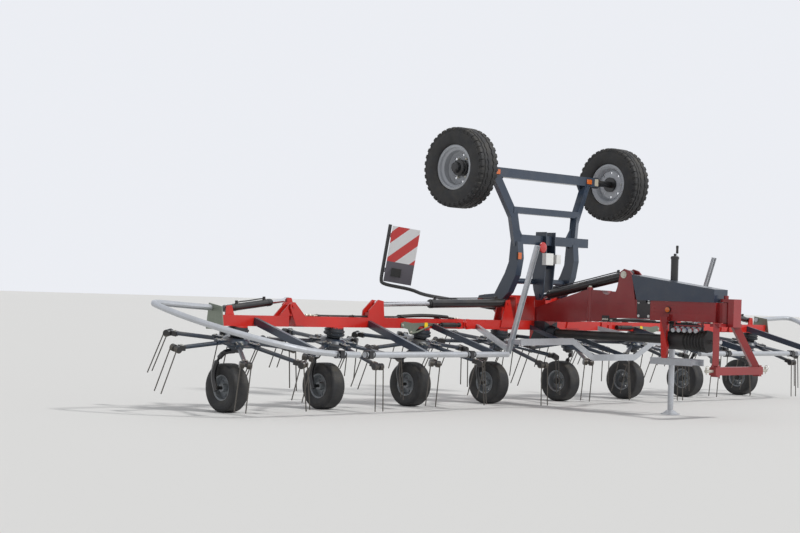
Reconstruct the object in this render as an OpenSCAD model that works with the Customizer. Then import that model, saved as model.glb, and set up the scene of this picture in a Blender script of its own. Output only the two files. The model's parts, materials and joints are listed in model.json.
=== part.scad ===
/* Trailed hay tedder with eight rotors, folding wings and a swing-over transport chassis.
   X points to the machine's right, Y forward to the tractor, Z up; the wheels stand on Z = 0. */

/* [Rotors] */
// Distance from one rotor to the next
rotor_pitch = 1080; // [1070:5:1100]
// Height of a rotor's disc at its middle
rotor_z = 600; // [595:1:606]
// Forward tilt of the rotors, in degrees
rotor_tilt = 12; // [11:0.5:13]
// Radius of the circle of the tine tips
tine_radius = 722; // [700:2:726]
// Drop from the disc to the tine tips
tine_drop = 430; // [420:2:440]
// Radius at which the arms end
arm_reach = 590; // [570:2:600]
// Diameter of an arm's tube
arm_d = 36; // [30:1:44]
// Wire diameter of a tine
tine_wire = 10; // [8:0.5:12]
// Distance between the two legs of a tine
tine_pair = 92; // [80:2:110]

/* [Rotor wheels] */
// Diameter of a rotor wheel
wheel_d = 410; // [404:1:416]
// Width of a rotor wheel
wheel_w = 165; // [150:1:175]
// Distance that a wheel trails behind its rotor
wheel_trail = 100; // [80:5:120]
// Tube diameter of a wheel's leg
leg_d = 44; // [38:1:50]

/* [Wings] */
// Height of the beam's middle
beam_z = 770; // [765:1:780]
// Width and height of the beam
beam_s = 90; // [84:1:96]
// Distance of the beam ahead of the rotor line
beam_y = 30; // [24:1:36]
// Height of the outer fold's axis
fold_z = 900; // [895:1:910]
// Length of the beam past the outer rotor
beam_over = 230; // [200:5:260]

/* [Guards] */
// Diameter of the guard tube
guard_d = 50; // [42:1:56]
// Distance of the guard ahead of the rotor line
guard_y = 950; // [930:2:970]
// Height of the guard
guard_z = 530; // [515:1:545]
// Reach of the guard past the outer rotor
guard_over = 875; // [850:5:900]

/* [Transport chassis] */
// Diameter of a transport wheel
tyre_d = 760; // [740:2:780]
// Width of a transport wheel
tyre_w = 240; // [230:2:250]
// Distance between the transport wheels
track = 2320; // [2310:2:2340]
// Height of the axle when it is swung up
axle_z = 2240; // [2220:2:2260]
// Section of the chassis beams
chassis_s = 90; // [80:1:100]
// Distance between the outer faces of the chassis legs
leg_span = 920; // [915:1:930]

/* [Drawbar] */
// Width of the drawbar
bar_w = 150; // [140:2:160]
// Distance from the rotor line to the swivel
swivel_y = 2240; // [2220:5:2280]
// Height of the drawbar's lower face ahead of the mast
bar_z = 870; // [865:1:876]
// Height of the drawbar's box
bar_h = 180; // [170:2:190]
// Height of the top of the mast
mast_z = 1340; // [1330:2:1360]
// Distance between the two hitch pins, middle to middle
hitch_span = 820; // [800:5:840]
// Diameter of a hitch pin
hitch_d = 28; // [28:0.2:28.4]
// Height of the hitch pins
hitch_z = 450; // [444:2:456]

/* [Warning board] */
// Width of the board
board_w = 282; // [270:1:282]
// Height of the board
board_h = 564; // [550:2:570]
// Height of the board's lower edge
board_z = 1140; // [1134:1:1146]

/* [Hidden] */
$fn = 48;
run_gap = 0.3;
side_gap = 5;

red = [0.80, 0.13, 0.10];
dark_red = [0.45, 0.14, 0.14];
slate = [0.18, 0.24, 0.31];
zinc = [0.75, 0.76, 0.78];
black = [0.08, 0.08, 0.09];
chrome = [0.88, 0.88, 0.90];

// Rotor places from the middle outward: rotor_x(1) is the outermost on the right
function rotor_x(i) = (4.5 - i) * rotor_pitch;
hinge_x = rotor_pitch;
fold_x = 3 * rotor_pitch;
beam_top = beam_z + beam_s / 2;
beam_low = beam_z - beam_s / 2;
beam_front = beam_y + beam_s / 2;
beam_back = beam_y - beam_s / 2;
beam_end = 3.5 * rotor_pitch + beam_over;
beam_gap = 35;
axle_y = 20;
pivot_y = -310;
shaft_z = 700;
pivot_z = 1000;
leg_w = 80;
leg_x = leg_span / 2 - leg_w / 2;
mast_y = 1146;
mast_pin_z = 1285;
lever_y = 100;
lever_z = 1060;
slot_half = 60;
plate_t = 12;

// The box around everything runs from the bend of the board's tube to the hitch bar
hitch_y = swivel_y + 130;
hitch_bar = 70;
board_x = 820;
board_y = -1130;
board_turn = -45;
board_lean = -8;
arm_r = 18;
arm_out = 26;
front_y = hitch_y + hitch_bar / 2;
rear_y = board_at(board_w / 2 + arm_out, 25)[1] - arm_r;
origin_y = (front_y + rear_y) / 2;

// A place in the warning board's own plane: x across it, z up it
function board_at(x, z) = [board_x + (x * cos(board_lean) + z * sin(board_lean)) * cos(board_turn),
  board_y + (x * cos(board_lean) + z * sin(board_lean)) * sin(board_turn),
  board_z - x * sin(board_lean) + z * cos(board_lean)];
function unit(v) = v / norm(v);
function at(v, t) = [v[0] * t, v[1] * t, v[2] * t];

module put() translate([0, -origin_y, 0]) children();
module left() mirror([1, 0, 0]) children();

// A round bar from a to b
module rod(a, b, r) {
  d = b - a;
  l = norm(d);
  translate(a) rotate([0, acos(d[2] / l), atan2(d[1], d[0])]) cylinder(h = l, r = r);
}

// A box section from a to b, w wide and h deep
module strut(a, b, w, h) {
  d = b - a;
  l = norm(d);
  translate(a) rotate([0, -asin(d[2] / l), atan2(d[1], d[0])])
    translate([0, -w / 2, -h / 2]) cube([l, w, h]);
}

// Leaves what stands ahead of the beams, so that a stay ends flush on their front face
module ahead_of_beam() difference() {
  union() children();
  translate([-5000, -2000, 0]) cube([10000, 2000 + beam_front + run_gap, 3000]);
}

// A flat plate standing across X: its outline is in Y and Z
module plate_x(x, t, outline) translate([x, 0, 0]) rotate([90, 0, 90]) linear_extrude(t) polygon(outline);

// A flat plate standing across Y: its outline is in X and Z
module plate_y(y, t, outline) translate([0, y + t, 0]) rotate([90, 0, 0]) linear_extrude(t) polygon(outline);

// Points of a path with its corners rounded by quadratic curves
function eased(p, steps) = concat([p[0]],
  [for (i = [1 : len(p) - 2], s = [0 : steps])
    let (t = s / steps, a = (p[i - 1] + p[i]) / 2, b = p[i], c = (p[i] + p[i + 1]) / 2)
    at(a, (1 - t) * (1 - t)) + at(b, 2 * t * (1 - t)) + at(c, t * t)],
  [p[len(p) - 1]]);

// The same curve for an outline in two dimensions
function eased_2d(p, steps) = [for (q = eased([for (v = p) [v[0], v[1], 0]], steps)) [q[0], q[1]]];

function fresh(p) = [for (i = [0 : len(p) - 1]) if (i == 0 || norm(p[i] - p[i - 1]) > 1) p[i]];

// A smooth tube of n sides along a path
module swept(path, r, n) {
  p = fresh(path);
  m = len(p);
  dirs = [for (i = [0 : m - 1]) unit(p[min(i + 1, m - 1)] - p[max(i - 1, 0)])];
  rings = [for (i = [0 : m - 1])
    let (d = dirs[i], u = unit(cross(d, abs(d[2]) < 0.8 ? [0, 0, 1] : [0, 1, 0])), w = cross(d, u))
    for (k = [0 : n - 1]) p[i] + at(u, r * cos(360 * k / n)) + at(w, r * sin(360 * k / n))];
  sides = [for (i = [0 : m - 2], k = [0 : n - 1])
    [i * n + k, (i + 1) * n + k, (i + 1) * n + (k + 1) % n, i * n + (k + 1) % n]];
  polyhedron(rings, concat([[for (k = [0 : n - 1]) k]], sides, [[for (k = [n - 1 : -1 : 0]) (m - 1) * n + k]]));
}

// Rotors
disc_r = 190;
hub_r = 70;
hub_low = -62;
post_r = 28;
coil_r = 30;
coil_turns = 4;
coil_gap = 11;

// One double coil, turned: the wire's turns show as ribs on both sides of the middle clamp
module tine_coil() {
  half = coil_gap + coil_turns * tine_wire;
  ribs = [for (side = [-half, coil_gap], k = [0 : coil_turns - 1], q = [0, 0.3, 0.7, 1])
    if (q < 1 || k == coil_turns - 1)
      [q == 0 || q == 1 ? coil_r - 2.5 : coil_r, side + (k + q) * tine_wire]];
  n = len(ribs) / 2;
  rotate_extrude($fn = 32) polygon(concat([[0, -half]], [for (i = [0 : n - 1]) ribs[i]],
    [[coil_r - 14, -coil_gap], [coil_r - 14, coil_gap]], [for (i = [n : 2 * n - 1]) ribs[i]], [[0, half]]));
}

module tine_arm() {
  end = [arm_reach, 0, -58];
  coil = end + [18, 0, -8];
  leg_y = coil_gap + (coil_turns - 0.8) * tine_wire;
  rod([disc_r - 60, 0, -12], end - [20, 0, 0], arm_d / 2);
  // Shoe that clamps the tube on the disc, and the carrier of the coil
  translate([disc_r - 75, -arm_d / 2 - 12, -23.5]) cube([95, arm_d + 24, 34.5]);
  translate(end - [62, 25, 22]) cube([50, 50, 42]);
  translate(end - [30, coil_gap - 1, 16]) cube([70, 2 * coil_gap - 2, 30]);
  for (s = [-1, 1])
    rod(coil + [coil_r - tine_wire * 0.8, s * leg_y, 0], [tine_radius - 4, s * tine_pair / 2, -tine_drop],
      tine_wire / 2);
  translate(coil) rotate([-90, 0, 0]) tine_coil();
}

module rotor_local() {
  difference() {
    union() {
      rotate_extrude() polygon([[0, hub_low], [hub_r, hub_low], [hub_r, -40], [hub_r + 22, -26], [disc_r - 12, -20],
        [disc_r, -12], [disc_r, -4], [disc_r - 14, -8], [124, 0], [104, 22], [86, 33], [0, 33]]);
      for (k = [0 : 5]) rotate([0, 0, 60 * k]) tine_arm();
    }
    translate([0, 0, hub_low - 1]) cylinder(h = 140, r = post_r + run_gap);
  }
}

// The six arms of neighbours stand half a pitch apart, so that their tines pass between each other
module rotor(i) {
  color(slate) translate([rotor_x(i), 0, rotor_z]) rotate([-rotor_tilt, 0, 0])
    rotate([0, 0, i % 2 == 0 ? 30 : 0]) rotor_local();
}

// Gearbox under the beam, turned, with its flange and ribs; its post goes down through the rotor
module gearbox(x) {
  color(slate) translate([x, 0, rotor_z]) rotate([-rotor_tilt, 0, 0]) {
    rotate_extrude() polygon([[0, 33 + side_gap / 5], [56, 33 + side_gap / 5], [62, 44], [62, 56], [88, 60],
      [94, 66], [94, 76], [84, 80], [84, 92], [90, 95], [90, 104], [80, 108], [74, 140], [0, 140]]);
    translate([0, 0, hub_low - 30]) cylinder(h = 120 - hub_low, r = post_r);
    translate([0, 0, hub_low - 30]) cylinder(h = 30 - run_gap, r = 46);
  }
}

stub_r = 15;
module wheel_leg(x, out) {
  top = [x, -22, rotor_z + hub_low - 22];
  side = x + out * (wheel_w / 2 + leg_d / 2 + 12);
  hub = [side, -wheel_trail, wheel_d / 2];
  color(black) {
    swept(eased([top, [side, -40, top[2] - 8], [side, -wheel_trail - 60, wheel_d / 2 + 130], hub - [0, 0, 24]], 4),
      leg_d / 2, 10);
    rod([side + out * leg_d / 4, hub[1], hub[2]], [x - out * (wheel_w / 2 - 10), hub[1], hub[2]], stub_r);
  }
}

// Ground wheel: rounded tyre and pressed rim with five holes
module wheel(i) {
  rim = wheel_d * 0.27;
  r = wheel_d / 2;
  w = wheel_w / 2;
  tyre = eased_2d([[rim, 14 - w], [rim + 42, -w], [r - 4, 6 - w], [r, 34 - w], [r, w - 34], [r - 4, w - 6],
    [rim + 42, w], [rim, w - 14]], 2);
  color(black) translate([rotor_x(i), -wheel_trail, r]) rotate([0, 90, 0]) difference() {
    rotate_extrude() polygon(concat([[stub_r + run_gap, 22 - w], [34, 22 - w], [34, -22], [54, -16], [80, -16],
      [rim - 16, -30], [rim - 14, 26 - w], [rim - 3, 18 - w]], tyre, [[rim - 3, w - 18], [rim - 14, w - 26],
      [rim - 16, 6], [80, 6], [54, 6], [34, 12], [34, w - 22], [stub_r + run_gap, w - 22]]));
    for (k = [0 : 4]) rotate([0, 0, 72 * k]) translate([67, 0, -60]) cylinder(h = 120, r = 12);
  }
}

// Centre section
base_x = 500;
base_z = 980;
side_in = slot_half + plate_t + 8;
side_out = leg_x - leg_w / 2 - 15;
pin_r = 25;

module centre_frame() color(red) {
  half = hinge_x - beam_gap;
  translate([7 - half, beam_back, beam_low]) cube([2 * half - 14, beam_s, beam_s]);
  for (s = [-1, 1]) {
    gearbox(s * rotor_pitch / 2);
    wheel_leg(s * rotor_pitch / 2, s);
    // Wing hinge ears outside the beam's faces, and their pin
    for (f = [-1, 1])
      translate([0, f > 0 ? beam_y + beam_s / 2 : beam_y - beam_s / 2 - plate_t, 0])
        plate_y(0, plate_t, [for (p = [[half - 90, beam_low + 5], [hinge_x, beam_low - 4],
          [hinge_x + 38, beam_z - 20], [hinge_x + 38, beam_z + 20], [hinge_x, beam_top + 4],
          [half - 90, beam_top - 5]]) [s * p[0], p[1]]]);
    rod([s * hinge_x, beam_y - beam_s / 2 - plate_t - 12, beam_z],
        [s * hinge_x, beam_y + beam_s / 2 + plate_t + 12, beam_z], pin_r);
    // Clevis of the wing cylinder
    for (f = [-1, 1])
      plate_y(f > 0 ? beam_front : beam_back - plate_t, plate_t,
        [for (p = [[base_x - 110, beam_low + 20], [base_x + 100, beam_low + 20], [base_x + 30, base_z + 26],
                   [base_x - 26, base_z + 34]]) [s * p[0], p[1]]]);
    rod([s * base_x, beam_back - 20, base_z], [s * base_x, beam_front + 20, base_z], 15);
    // Side boxes that carry the chassis pivot, on plates down to the beam
    translate([s > 0 ? side_in : -side_out, pivot_y - 45, pivot_z - 20]) cube([side_out - side_in, 330, 80]);
    for (x = [side_in, side_out - plate_t])
      plate_x(s > 0 ? x : -x - plate_t, plate_t, [[pivot_y - 50, pivot_z - 45], [pivot_y + 40, pivot_z - 60],
        [beam_y - beam_s / 2 - 30, beam_low + 20], [beam_y + beam_s / 2, beam_top - 10], [beam_y + 30, pivot_z + 40],
        [pivot_y - 50, pivot_z + 40]]);
    rod([s * side_in, pivot_y, pivot_z], [s * (leg_span / 2 + 22), pivot_y, pivot_z], pin_r);
  }
  // Main gearbox behind the drive shaft
  translate([-95, beam_y - 10, shaft_z - 90]) cube([190, 190, beam_top - shaft_z + 90]);
  translate([0, beam_y + 170, shaft_z]) rotate([-90, 0, 0]) cylinder(h = 90, r1 = 78, r2 = 58);
}

// Wings
eye_x = 2200;
eye_z = 935;
tip_base_x = fold_x + 610;
tip_base_z = 865;
tip_eye_x = fold_x - 50;
tip_eye_z = fold_z + 50;
tip_layer = beam_y - beam_s / 2 - 49;

module wing() color(red) {
  a = hinge_x + beam_gap;
  b = fold_x - beam_gap;
  translate([a, beam_y - beam_s / 2, beam_low]) cube([b - a, beam_s, beam_s]);
  // Hinge tongue between the ears of the centre section
  difference() {
    union() {
      translate([hinge_x, beam_y - beam_s / 2 + side_gap, beam_z - 34])
        cube([beam_gap + 10, beam_s - 2 * side_gap, 68]);
      translate([hinge_x, beam_y - beam_s / 2 + side_gap, beam_z]) rotate([-90, 0, 0])
        cylinder(h = beam_s - 2 * side_gap, r = 34);
    }
    translate([hinge_x, 0, beam_z]) rotate([-90, 0, 0]) translate([0, 0, -100])
      cylinder(h = 300, r = pin_r + run_gap);
  }
  for (i = [2, 3]) {
    gearbox(rotor_x(i));
    wheel_leg(rotor_x(i), 1);
  }
  // Tall bracket for the wing cylinder
  for (f = [-1, 1])
    plate_y(beam_y + f * (beam_s / 2 - plate_t / 2) - plate_t / 2, plate_t,
      [[eye_x - 50, beam_top - 4], [eye_x + 150, beam_top - 4], [eye_x + 140, 880], [eye_x + 30, 975],
       [eye_x - 34, 965], [eye_x - 40, 900]]);
  translate([eye_x + 90, beam_y - beam_s / 2, beam_top - 4]) cube([40, beam_s, 50]);
  // Lever of the tip cylinder, behind the fold plates
  plate_y(tip_layer + 20, plate_t, [[b - 60, beam_low + 14], [b - 150, beam_low + 14], [b - 110, beam_top],
    [tip_eye_x - 26, tip_eye_z + 20], [tip_eye_x + 22, tip_eye_z + 20], [tip_eye_x + 20, tip_eye_z - 30],
    [b - 40, beam_top - 20]]);
  translate([b - 150, tip_layer + 30, beam_low + 14]) cube([90, 22, 50]);
  // Fold plates and pin
  for (f = [0, 1])
    plate_y(f > 0 ? beam_y + beam_s / 2 : beam_y - beam_s / 2 - plate_t, plate_t,
      [[b - 100, beam_low + 10], [b, beam_low + 10], [fold_x + 34, fold_z - 16], [fold_x + 34, fold_z + 16],
       [fold_x + 14, fold_z + 34], [fold_x - 16, fold_z + 34], [b - 100, beam_top + 4]]);
  rod([fold_x, beam_y - beam_s / 2 - plate_t - 8, fold_z], [fold_x, beam_y + beam_s / 2 + plate_t + 8, fold_z], 15);
}

module tip() color(red) {
  a = fold_x + beam_gap;
  difference() {
    union() {
      translate([a, beam_y - beam_s / 2, beam_low]) cube([beam_end - a, beam_s, beam_s]);
      for (f = [-1, 1])
        plate_y(beam_y + f * (beam_s / 2 - side_gap - plate_t / 2) - plate_t / 2, plate_t,
          [[a, beam_top - 4], [a + 110, beam_top - 4], [fold_x + 34, fold_z + 14], [fold_x + 16, fold_z + 32],
           [fold_x - 16, fold_z + 32], [fold_x - 34, fold_z + 14], [fold_x - 34, fold_z - 16]]);
    }
    translate([fold_x, 0, fold_z]) rotate([-90, 0, 0]) translate([0, 0, -100]) cylinder(h = 300, r = 15 + run_gap);
  }
  // Base plate and pin of the tip cylinder
  plate_y(tip_layer + 35, plate_t, [[tip_base_x - 80, beam_low + 10], [tip_base_x + 50, beam_low + 10],
    [tip_base_x + 30, tip_base_z + 25], [tip_base_x - 25, tip_base_z + 30]]);
  translate([tip_base_x - 80, tip_layer + 35, beam_low + 10]) cube([130, 16, 50]);
  rod([tip_base_x, tip_layer - 16, tip_base_z], [tip_base_x, tip_layer + 40, tip_base_z], 12);
  gearbox(rotor_x(1));
  wheel_leg(rotor_x(1), 1);
}

// Guards
module clamp_at(p) translate(p - [22, guard_d / 2 + 8, guard_d / 2 + 8]) cube([44, guard_d + 16, guard_d + 16]);

module wing_guard() color(zinc) {
  inner = hinge_x + 380;
  outer = fold_x - 30;
  translate([inner, guard_y, guard_z]) rotate([0, 90, 0]) cylinder(h = outer - inner, r = guard_d / 2);
  for (x = [1950, outer - 50]) clamp_at([x, guard_y, guard_z]);
  ahead_of_beam() {
    strut([2325, beam_front - 30, beam_low + 40], [2480, guard_y - guard_d / 2 + 6, guard_z], 34, 60);
    strut([1517, beam_front - 30, beam_low + 30], [1600, guard_y - guard_d / 2 + 6, guard_z], 26, 50);
  }
}

// The outer guard runs forward of the rotor, round it and back to the beam's end
module tip_guard() {
  s = guard_over / 875;
  x1 = rotor_x(1);
  g = guard_z;
  path = [[fold_x + 30, guard_y, g], [x1 - 120, guard_y, g + 12], [x1 + 230 * s, guard_y - 50, g + 65],
    [x1 + 560 * s, guard_y - 320, g + 165], [x1 + 780 * s, guard_y - 640, g + 270],
    [x1 + 870 * s, guard_y - 880, g + 350], [x1 + 850 * s, guard_y - 985, g + 375],
    [x1 + 520 * s, guard_y - 1000, g + 355], [beam_end - 10, guard_y - 1000, g + 340]];
  color(zinc) {
    swept(eased(path, 4), guard_d / 2, 12);
    clamp_at([x1 - 300, guard_y, g + 5]);
    ahead_of_beam()
      strut([fold_x + 400, beam_front - 30, beam_z + 5], [x1 - 80, guard_y - guard_d / 2 + 6, g + 12], 34, 60);
    plate_x(beam_end + run_gap, 8, [[beam_y - 140, beam_low - 30], [beam_y + 90, beam_low - 30], [beam_y + 60, beam_top + 70],
      [beam_y - 110, beam_top + 95]]);
  }
}

// Centre guard with its stays and uprights: a bent flat bar, given by its middle line
module front_guard() color(zinc) {
  end_x = hinge_x + 270;
  line = [[end_x, 110], [620, 120], [320, -30], [-320, -30], [-620, 120], [-end_x, 110]];
  bar = 30;
  foot_y = guard_y - 94;
  plate_y(guard_y + 45, 10, concat([for (p = line) [p[0], guard_z + p[1] + bar]],
    [for (i = [len(line) - 1 : -1 : 0]) [line[i][0], guard_z + line[i][1] - bar]]));
  for (s = [-1, 1]) {
    ahead_of_beam() {
      strut([s * (hinge_x - 175), beam_front - 30, beam_low + 30], [s * end_x, foot_y, guard_z + 40], 30, 45);
      strut([s * 147, beam_front - 30, beam_low + 35], [s * 240, guard_y + 49, guard_z - 34], 12, 40);
    }
    // Upright of a channel section, and the lug between it and the bar
    difference() {
      strut([s * end_x, foot_y, guard_z], [s * (end_x + 5), foot_y + 310, guard_z + 970], 50, 26);
      strut([s * end_x, foot_y + 14, guard_z - 5], [s * (end_x + 5), foot_y + 324, guard_z + 965], 38, 26);
    }
    translate([s * (end_x - 20) - 20, foot_y, guard_z + 88]) cube([40, guard_y + 46 - foot_y, 44]);
  }
}

// Drawbar: the rear arm rises to an upright hinge, the middle block carries the mast, the box goes on ahead
knee_a = 740;
block_y = 1310;
box_y = 1470;
groove = 4;
rail_end = swivel_y - 190;
module drawbar() color(dark_red) {
  half = bar_w / 2;
  difference() {
    union() {
      plate_x(-half, bar_w, [[-200, beam_top], [430, beam_top], [knee_a - 20, 838], [knee_a - 20, 1132],
        [knee_a - 48, 1132], [0, 925], [-200, 862]]);
      // Middle block with its arched top, and the mast's two cheeks on it
      difference() {
        plate_x(-half, bar_w, [[knee_a + 20, 836], [830, 832], [880, 838], [940, 872], [block_y, 880],
          [block_y, bar_z + bar_h], [mast_y - 70, bar_z + bar_h + 72], [mast_y - 104, 1124], [knee_a + 20, 1136]]);
        translate([0, 945, 1150]) rotate([0, 90, 0]) cylinder(h = 400, r = 58, center = true);
      }
      for (s = [-1, 1])
        plate_x(s > 0 ? slot_half : -slot_half - 18, 18, [[mast_y - 104, 1090], [mast_y + 165, 900],
          [mast_y + 96, mast_pin_z + 4], [mast_y + 60, mast_z - 16], [mast_y, mast_z], [mast_y - 44, mast_z - 30],
          [mast_y - 54, mast_pin_z - 30], [mast_y - 76, 1160]]);
      translate([-half, block_y - 10, bar_z + 8]) cube([bar_w, box_y + 20 - block_y, bar_h - 10]);
      translate([-half - 12, box_y, bar_z]) cube([bar_w + 24, swivel_y - 50 - box_y, bar_h]);
      translate([0, swivel_y, bar_z]) cylinder(h = bar_h, r = 52);
      translate([-50, swivel_y - 60, bar_z]) cube([100, 60, bar_h]);
      // Upright hinge between arm and block: ears and a bush
      for (z = [842, 940, 1040]) translate([-half + 14, knee_a - 26, z]) cube([bar_w - 28, 52, 84]);
      translate([half - 10, knee_a, 830]) cylinder(h = 312, r = 24);
      translate([half - 10, knee_a, 1128]) cylinder(h = 30, r = 29);
    }
    translate([0, swivel_y, 0]) cylinder(h = 2000, r = 22 + run_gap);
    // Pressed grooves along the sides
    for (s = [-1, 1]) {
      for (z = [bar_z + 74, bar_z + 106, bar_z + 138])
        translate([s * (half + 12) - groove, box_y + 45, z]) cube([2 * groove, 620, 7]);
      for (p = [[820, 1010], [1080, 1010], [1080, 955]])
        translate([s * half - groove, p[0], p[1]]) cube([2 * groove, p[0] > 1000 ? 110 : 150, 7]);
    }
  }
  rod([-slot_half - 30, mast_y, mast_pin_z], [slot_half + 30, mast_y, mast_pin_z], 20);
  for (s = [-1, 1])
    rod([s * (slot_half + 14), mast_y, mast_pin_z], [s * (slot_half + 24), mast_y, mast_pin_z], 34);
  // Strut beside the drive shaft, and the low bracket that it carries
  plate_x(104, 28, [[mast_y + 470, bar_z + 40], [mast_y + 550, bar_z + 40], [mast_y + 540, 700], [mast_y + 560, 640],
    [mast_y + 540, 480], [mast_y + 500, 480]]);
  translate([half, mast_y + 464, bar_z + 10]) cube([40, 92, 50]);
  for (x = [-60, 118]) translate([x, 1560, 470]) cube([15, 420, 60]);
  translate([-60, 1520, 470]) cube([193, 60, 60]);
  translate([-60, 1900, 480]) cube([193, 40, 40]);
  // Rail that holds the hose couplings
  translate([half - 25, 1730, bar_z - 44]) cube([30, rail_end - 1730, 12]);
  for (y = [1740, rail_end - 20]) translate([half - 25, y, bar_z - 44]) cube([30, 12, 46]);
}

module drawbar_cover() color(slate) {
  half = bar_w / 2;
  low = bar_z + bar_h;
  wall = 4;
  top = [[mast_y + 108, low + 238], [swivel_y - 58, low + 118]];
  outline = [[mast_y + 178, low + run_gap], [swivel_y - 60, low + run_gap], top[1], top[0]];
  inside = [[mast_y + 186, low - 20], [swivel_y - 66, low - 20], top[1] + [-8, -wall], top[0] + [6, -wall]];
  difference() {
    plate_x(-half - 30, bar_w + 60, outline);
    plate_x(-half - 30 + wall, bar_w + 60 - 2 * wall, inside);
  }
  // Cheeks over the joint of block and box
  for (s = [-1, 1])
    plate_x(s > 0 ? half + run_gap : -half - 8 - run_gap, 8, [[block_y + 10, bar_z + 14], [box_y - 4, bar_z + 14],
      [box_y - 4, low - 2], [block_y + 2, low - 2]]);
  for (s = [-1, 1])
    translate([s > 0 ? half + run_gap : -half - 30, block_y + 30, low - 20]) cube([30 - run_gap, 90, 24]);
}

// Guard of the drive shaft: a long tube, a drum and a ribbed cone round the stub
drum_y = 1632;
cone_y = 1850;
cone_end = swivel_y - 160;
module pto_guard() {
  color(black) translate([0, beam_y + 260 + run_gap, shaft_z]) rotate([-90, 0, 0])
    cylinder(h = drum_y + 10 - beam_y - 260, r = 42);
  color(black) translate([0, 0, shaft_z - 5]) rotate([-90, 0, 0]) rotate_extrude() polygon(concat([[0, drum_y],
    [80, drum_y], [86, drum_y + 8], [86, cone_y - 14], [74, cone_y - 6], [74, cone_y + 4]],
    [for (k = [0 : 5]) let (y = cone_y + 10 + k * (cone_end - cone_y - 20) / 6, r = 84 + 2.5 * k)
      each [[r, y], [r + 6, y + 8], [r + 6, y + 18], [r - 2, y + 24]]], [[98, cone_end - 4], [98, cone_end], [0, cone_end]]));
  color(chrome) translate([0, cone_end - 10, shaft_z - 5]) rotate([-90, 0, 0]) cylinder(h = 130, r = 17.5);
}

jack_x = -(bar_w / 2 + 73);
jack_y = mast_y + 414;
module jack_tube() color(black) {
  difference() {
    union() {
      translate([jack_x, jack_y, 620]) cylinder(h = 835, r = 35);
      translate([jack_x, jack_y, 1445]) cylinder(h = 16, r = 40);
      translate([jack_x, jack_y - 40, bar_z + 20]) cube([-bar_w / 2 - 12 - run_gap - jack_x, 80, 120]);
    }
    translate([jack_x, jack_y, 600]) cylinder(h = 820, r = 27 + run_gap);
  }
}

module jack_leg() color(zinc) {
  translate([jack_x, jack_y, 5]) cylinder(h = 985, r = 27);
  translate([jack_x, jack_y, 0]) rotate_extrude()
    polygon([[0, 0], [90, 0], [90, 8], [70, 12], [34, 40], [0, 40]]);
}

// Headstock on the swivel pin: a yoke over the drive stub, on two legs to the hitch bar
module headstock() color(dark_red) {
  top = bar_z + bar_h + side_gap;
  low = bar_z - side_gap;
  bar_end = hitch_span / 2 - 40;
  translate([0, swivel_y, low - 30]) cylinder(h = top - low + 90, r = 22);
  for (z = [low - 30, top]) {
    translate([0, swivel_y, z]) cylinder(h = 30, r = 50);
    translate([-50, swivel_y, z]) cube([100, 70, 30]);
  }
  translate([-60, swivel_y + 62, low - 30]) cube([120, 60, top - low + 60]);
  translate([-175, swivel_y - 45, low - 30]) cube([350, 100, 30]);
  for (s = [-1, 1]) {
    strut([s * 140, swivel_y, low - 12], [s * (bar_end - 52), hitch_y - 6, hitch_z + 20], 56, 62);
    rod([s * (bar_end - 5), hitch_y, hitch_z], [s * (hitch_span / 2 + 65), hitch_y, hitch_z], hitch_d / 2);
    translate([s * (bar_end - 42) - 18, hitch_y - hitch_bar / 2, hitch_z - 50]) cube([36, hitch_bar, 100]);
  }
  translate([-bar_end, hitch_y - hitch_bar / 2, hitch_z - 35]) cube([2 * bar_end, hitch_bar, 70]);
}

// Transport chassis
knee_y = 100;
beam_half = 860;
foot_top = pivot_z + 48;
module chassis_leg(s) {
  strut([s * 690, axle_y + 10, axle_z - 30], [s * 470, knee_y - 20, 1830], 66, leg_w);
  strut([s * 474, knee_y - 20, 1856], [s * leg_x, knee_y, 1540], 66, leg_w);
  // Wide lower plate box that runs down and back to the pivot
  translate([s * leg_x, 0, 0]) plate_x(-leg_w / 2, leg_w, [[knee_y - 45, 1580], [knee_y + 45, 1580],
    [knee_y + 62, 1420], [knee_y + 30, 1250], [knee_y - 58, 1085], [knee_y - 140, 1012], [pivot_y + 30, pivot_z - 48],
    [pivot_y - 30, pivot_z - 48], [pivot_y - 52, pivot_z], [pivot_y - 30, foot_top], [pivot_y + 60, foot_top + 12],
    [knee_y - 235, 1070], [knee_y - 110, 1270], [knee_y - 62, 1380]]);
  // Gussets under the axle beam and at the third beam
  plate_y(axle_y - 6, plate_t, [for (p = [[560, axle_z - 40], [660, axle_z - 40], [620, axle_z - 130]]) [s * p[0], p[1]]]);
  plate_y(knee_y - 20, plate_t, [for (p = [[330, 1640], [400, 1640], [400, 1740]]) [s * p[0], p[1]]]);
  // Lower cross tube from the leg to the lever plate
  rod([s * (slot_half + 4), knee_y - 70, 1200], [s * leg_x, knee_y - 70, 1200], 28);
}

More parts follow.
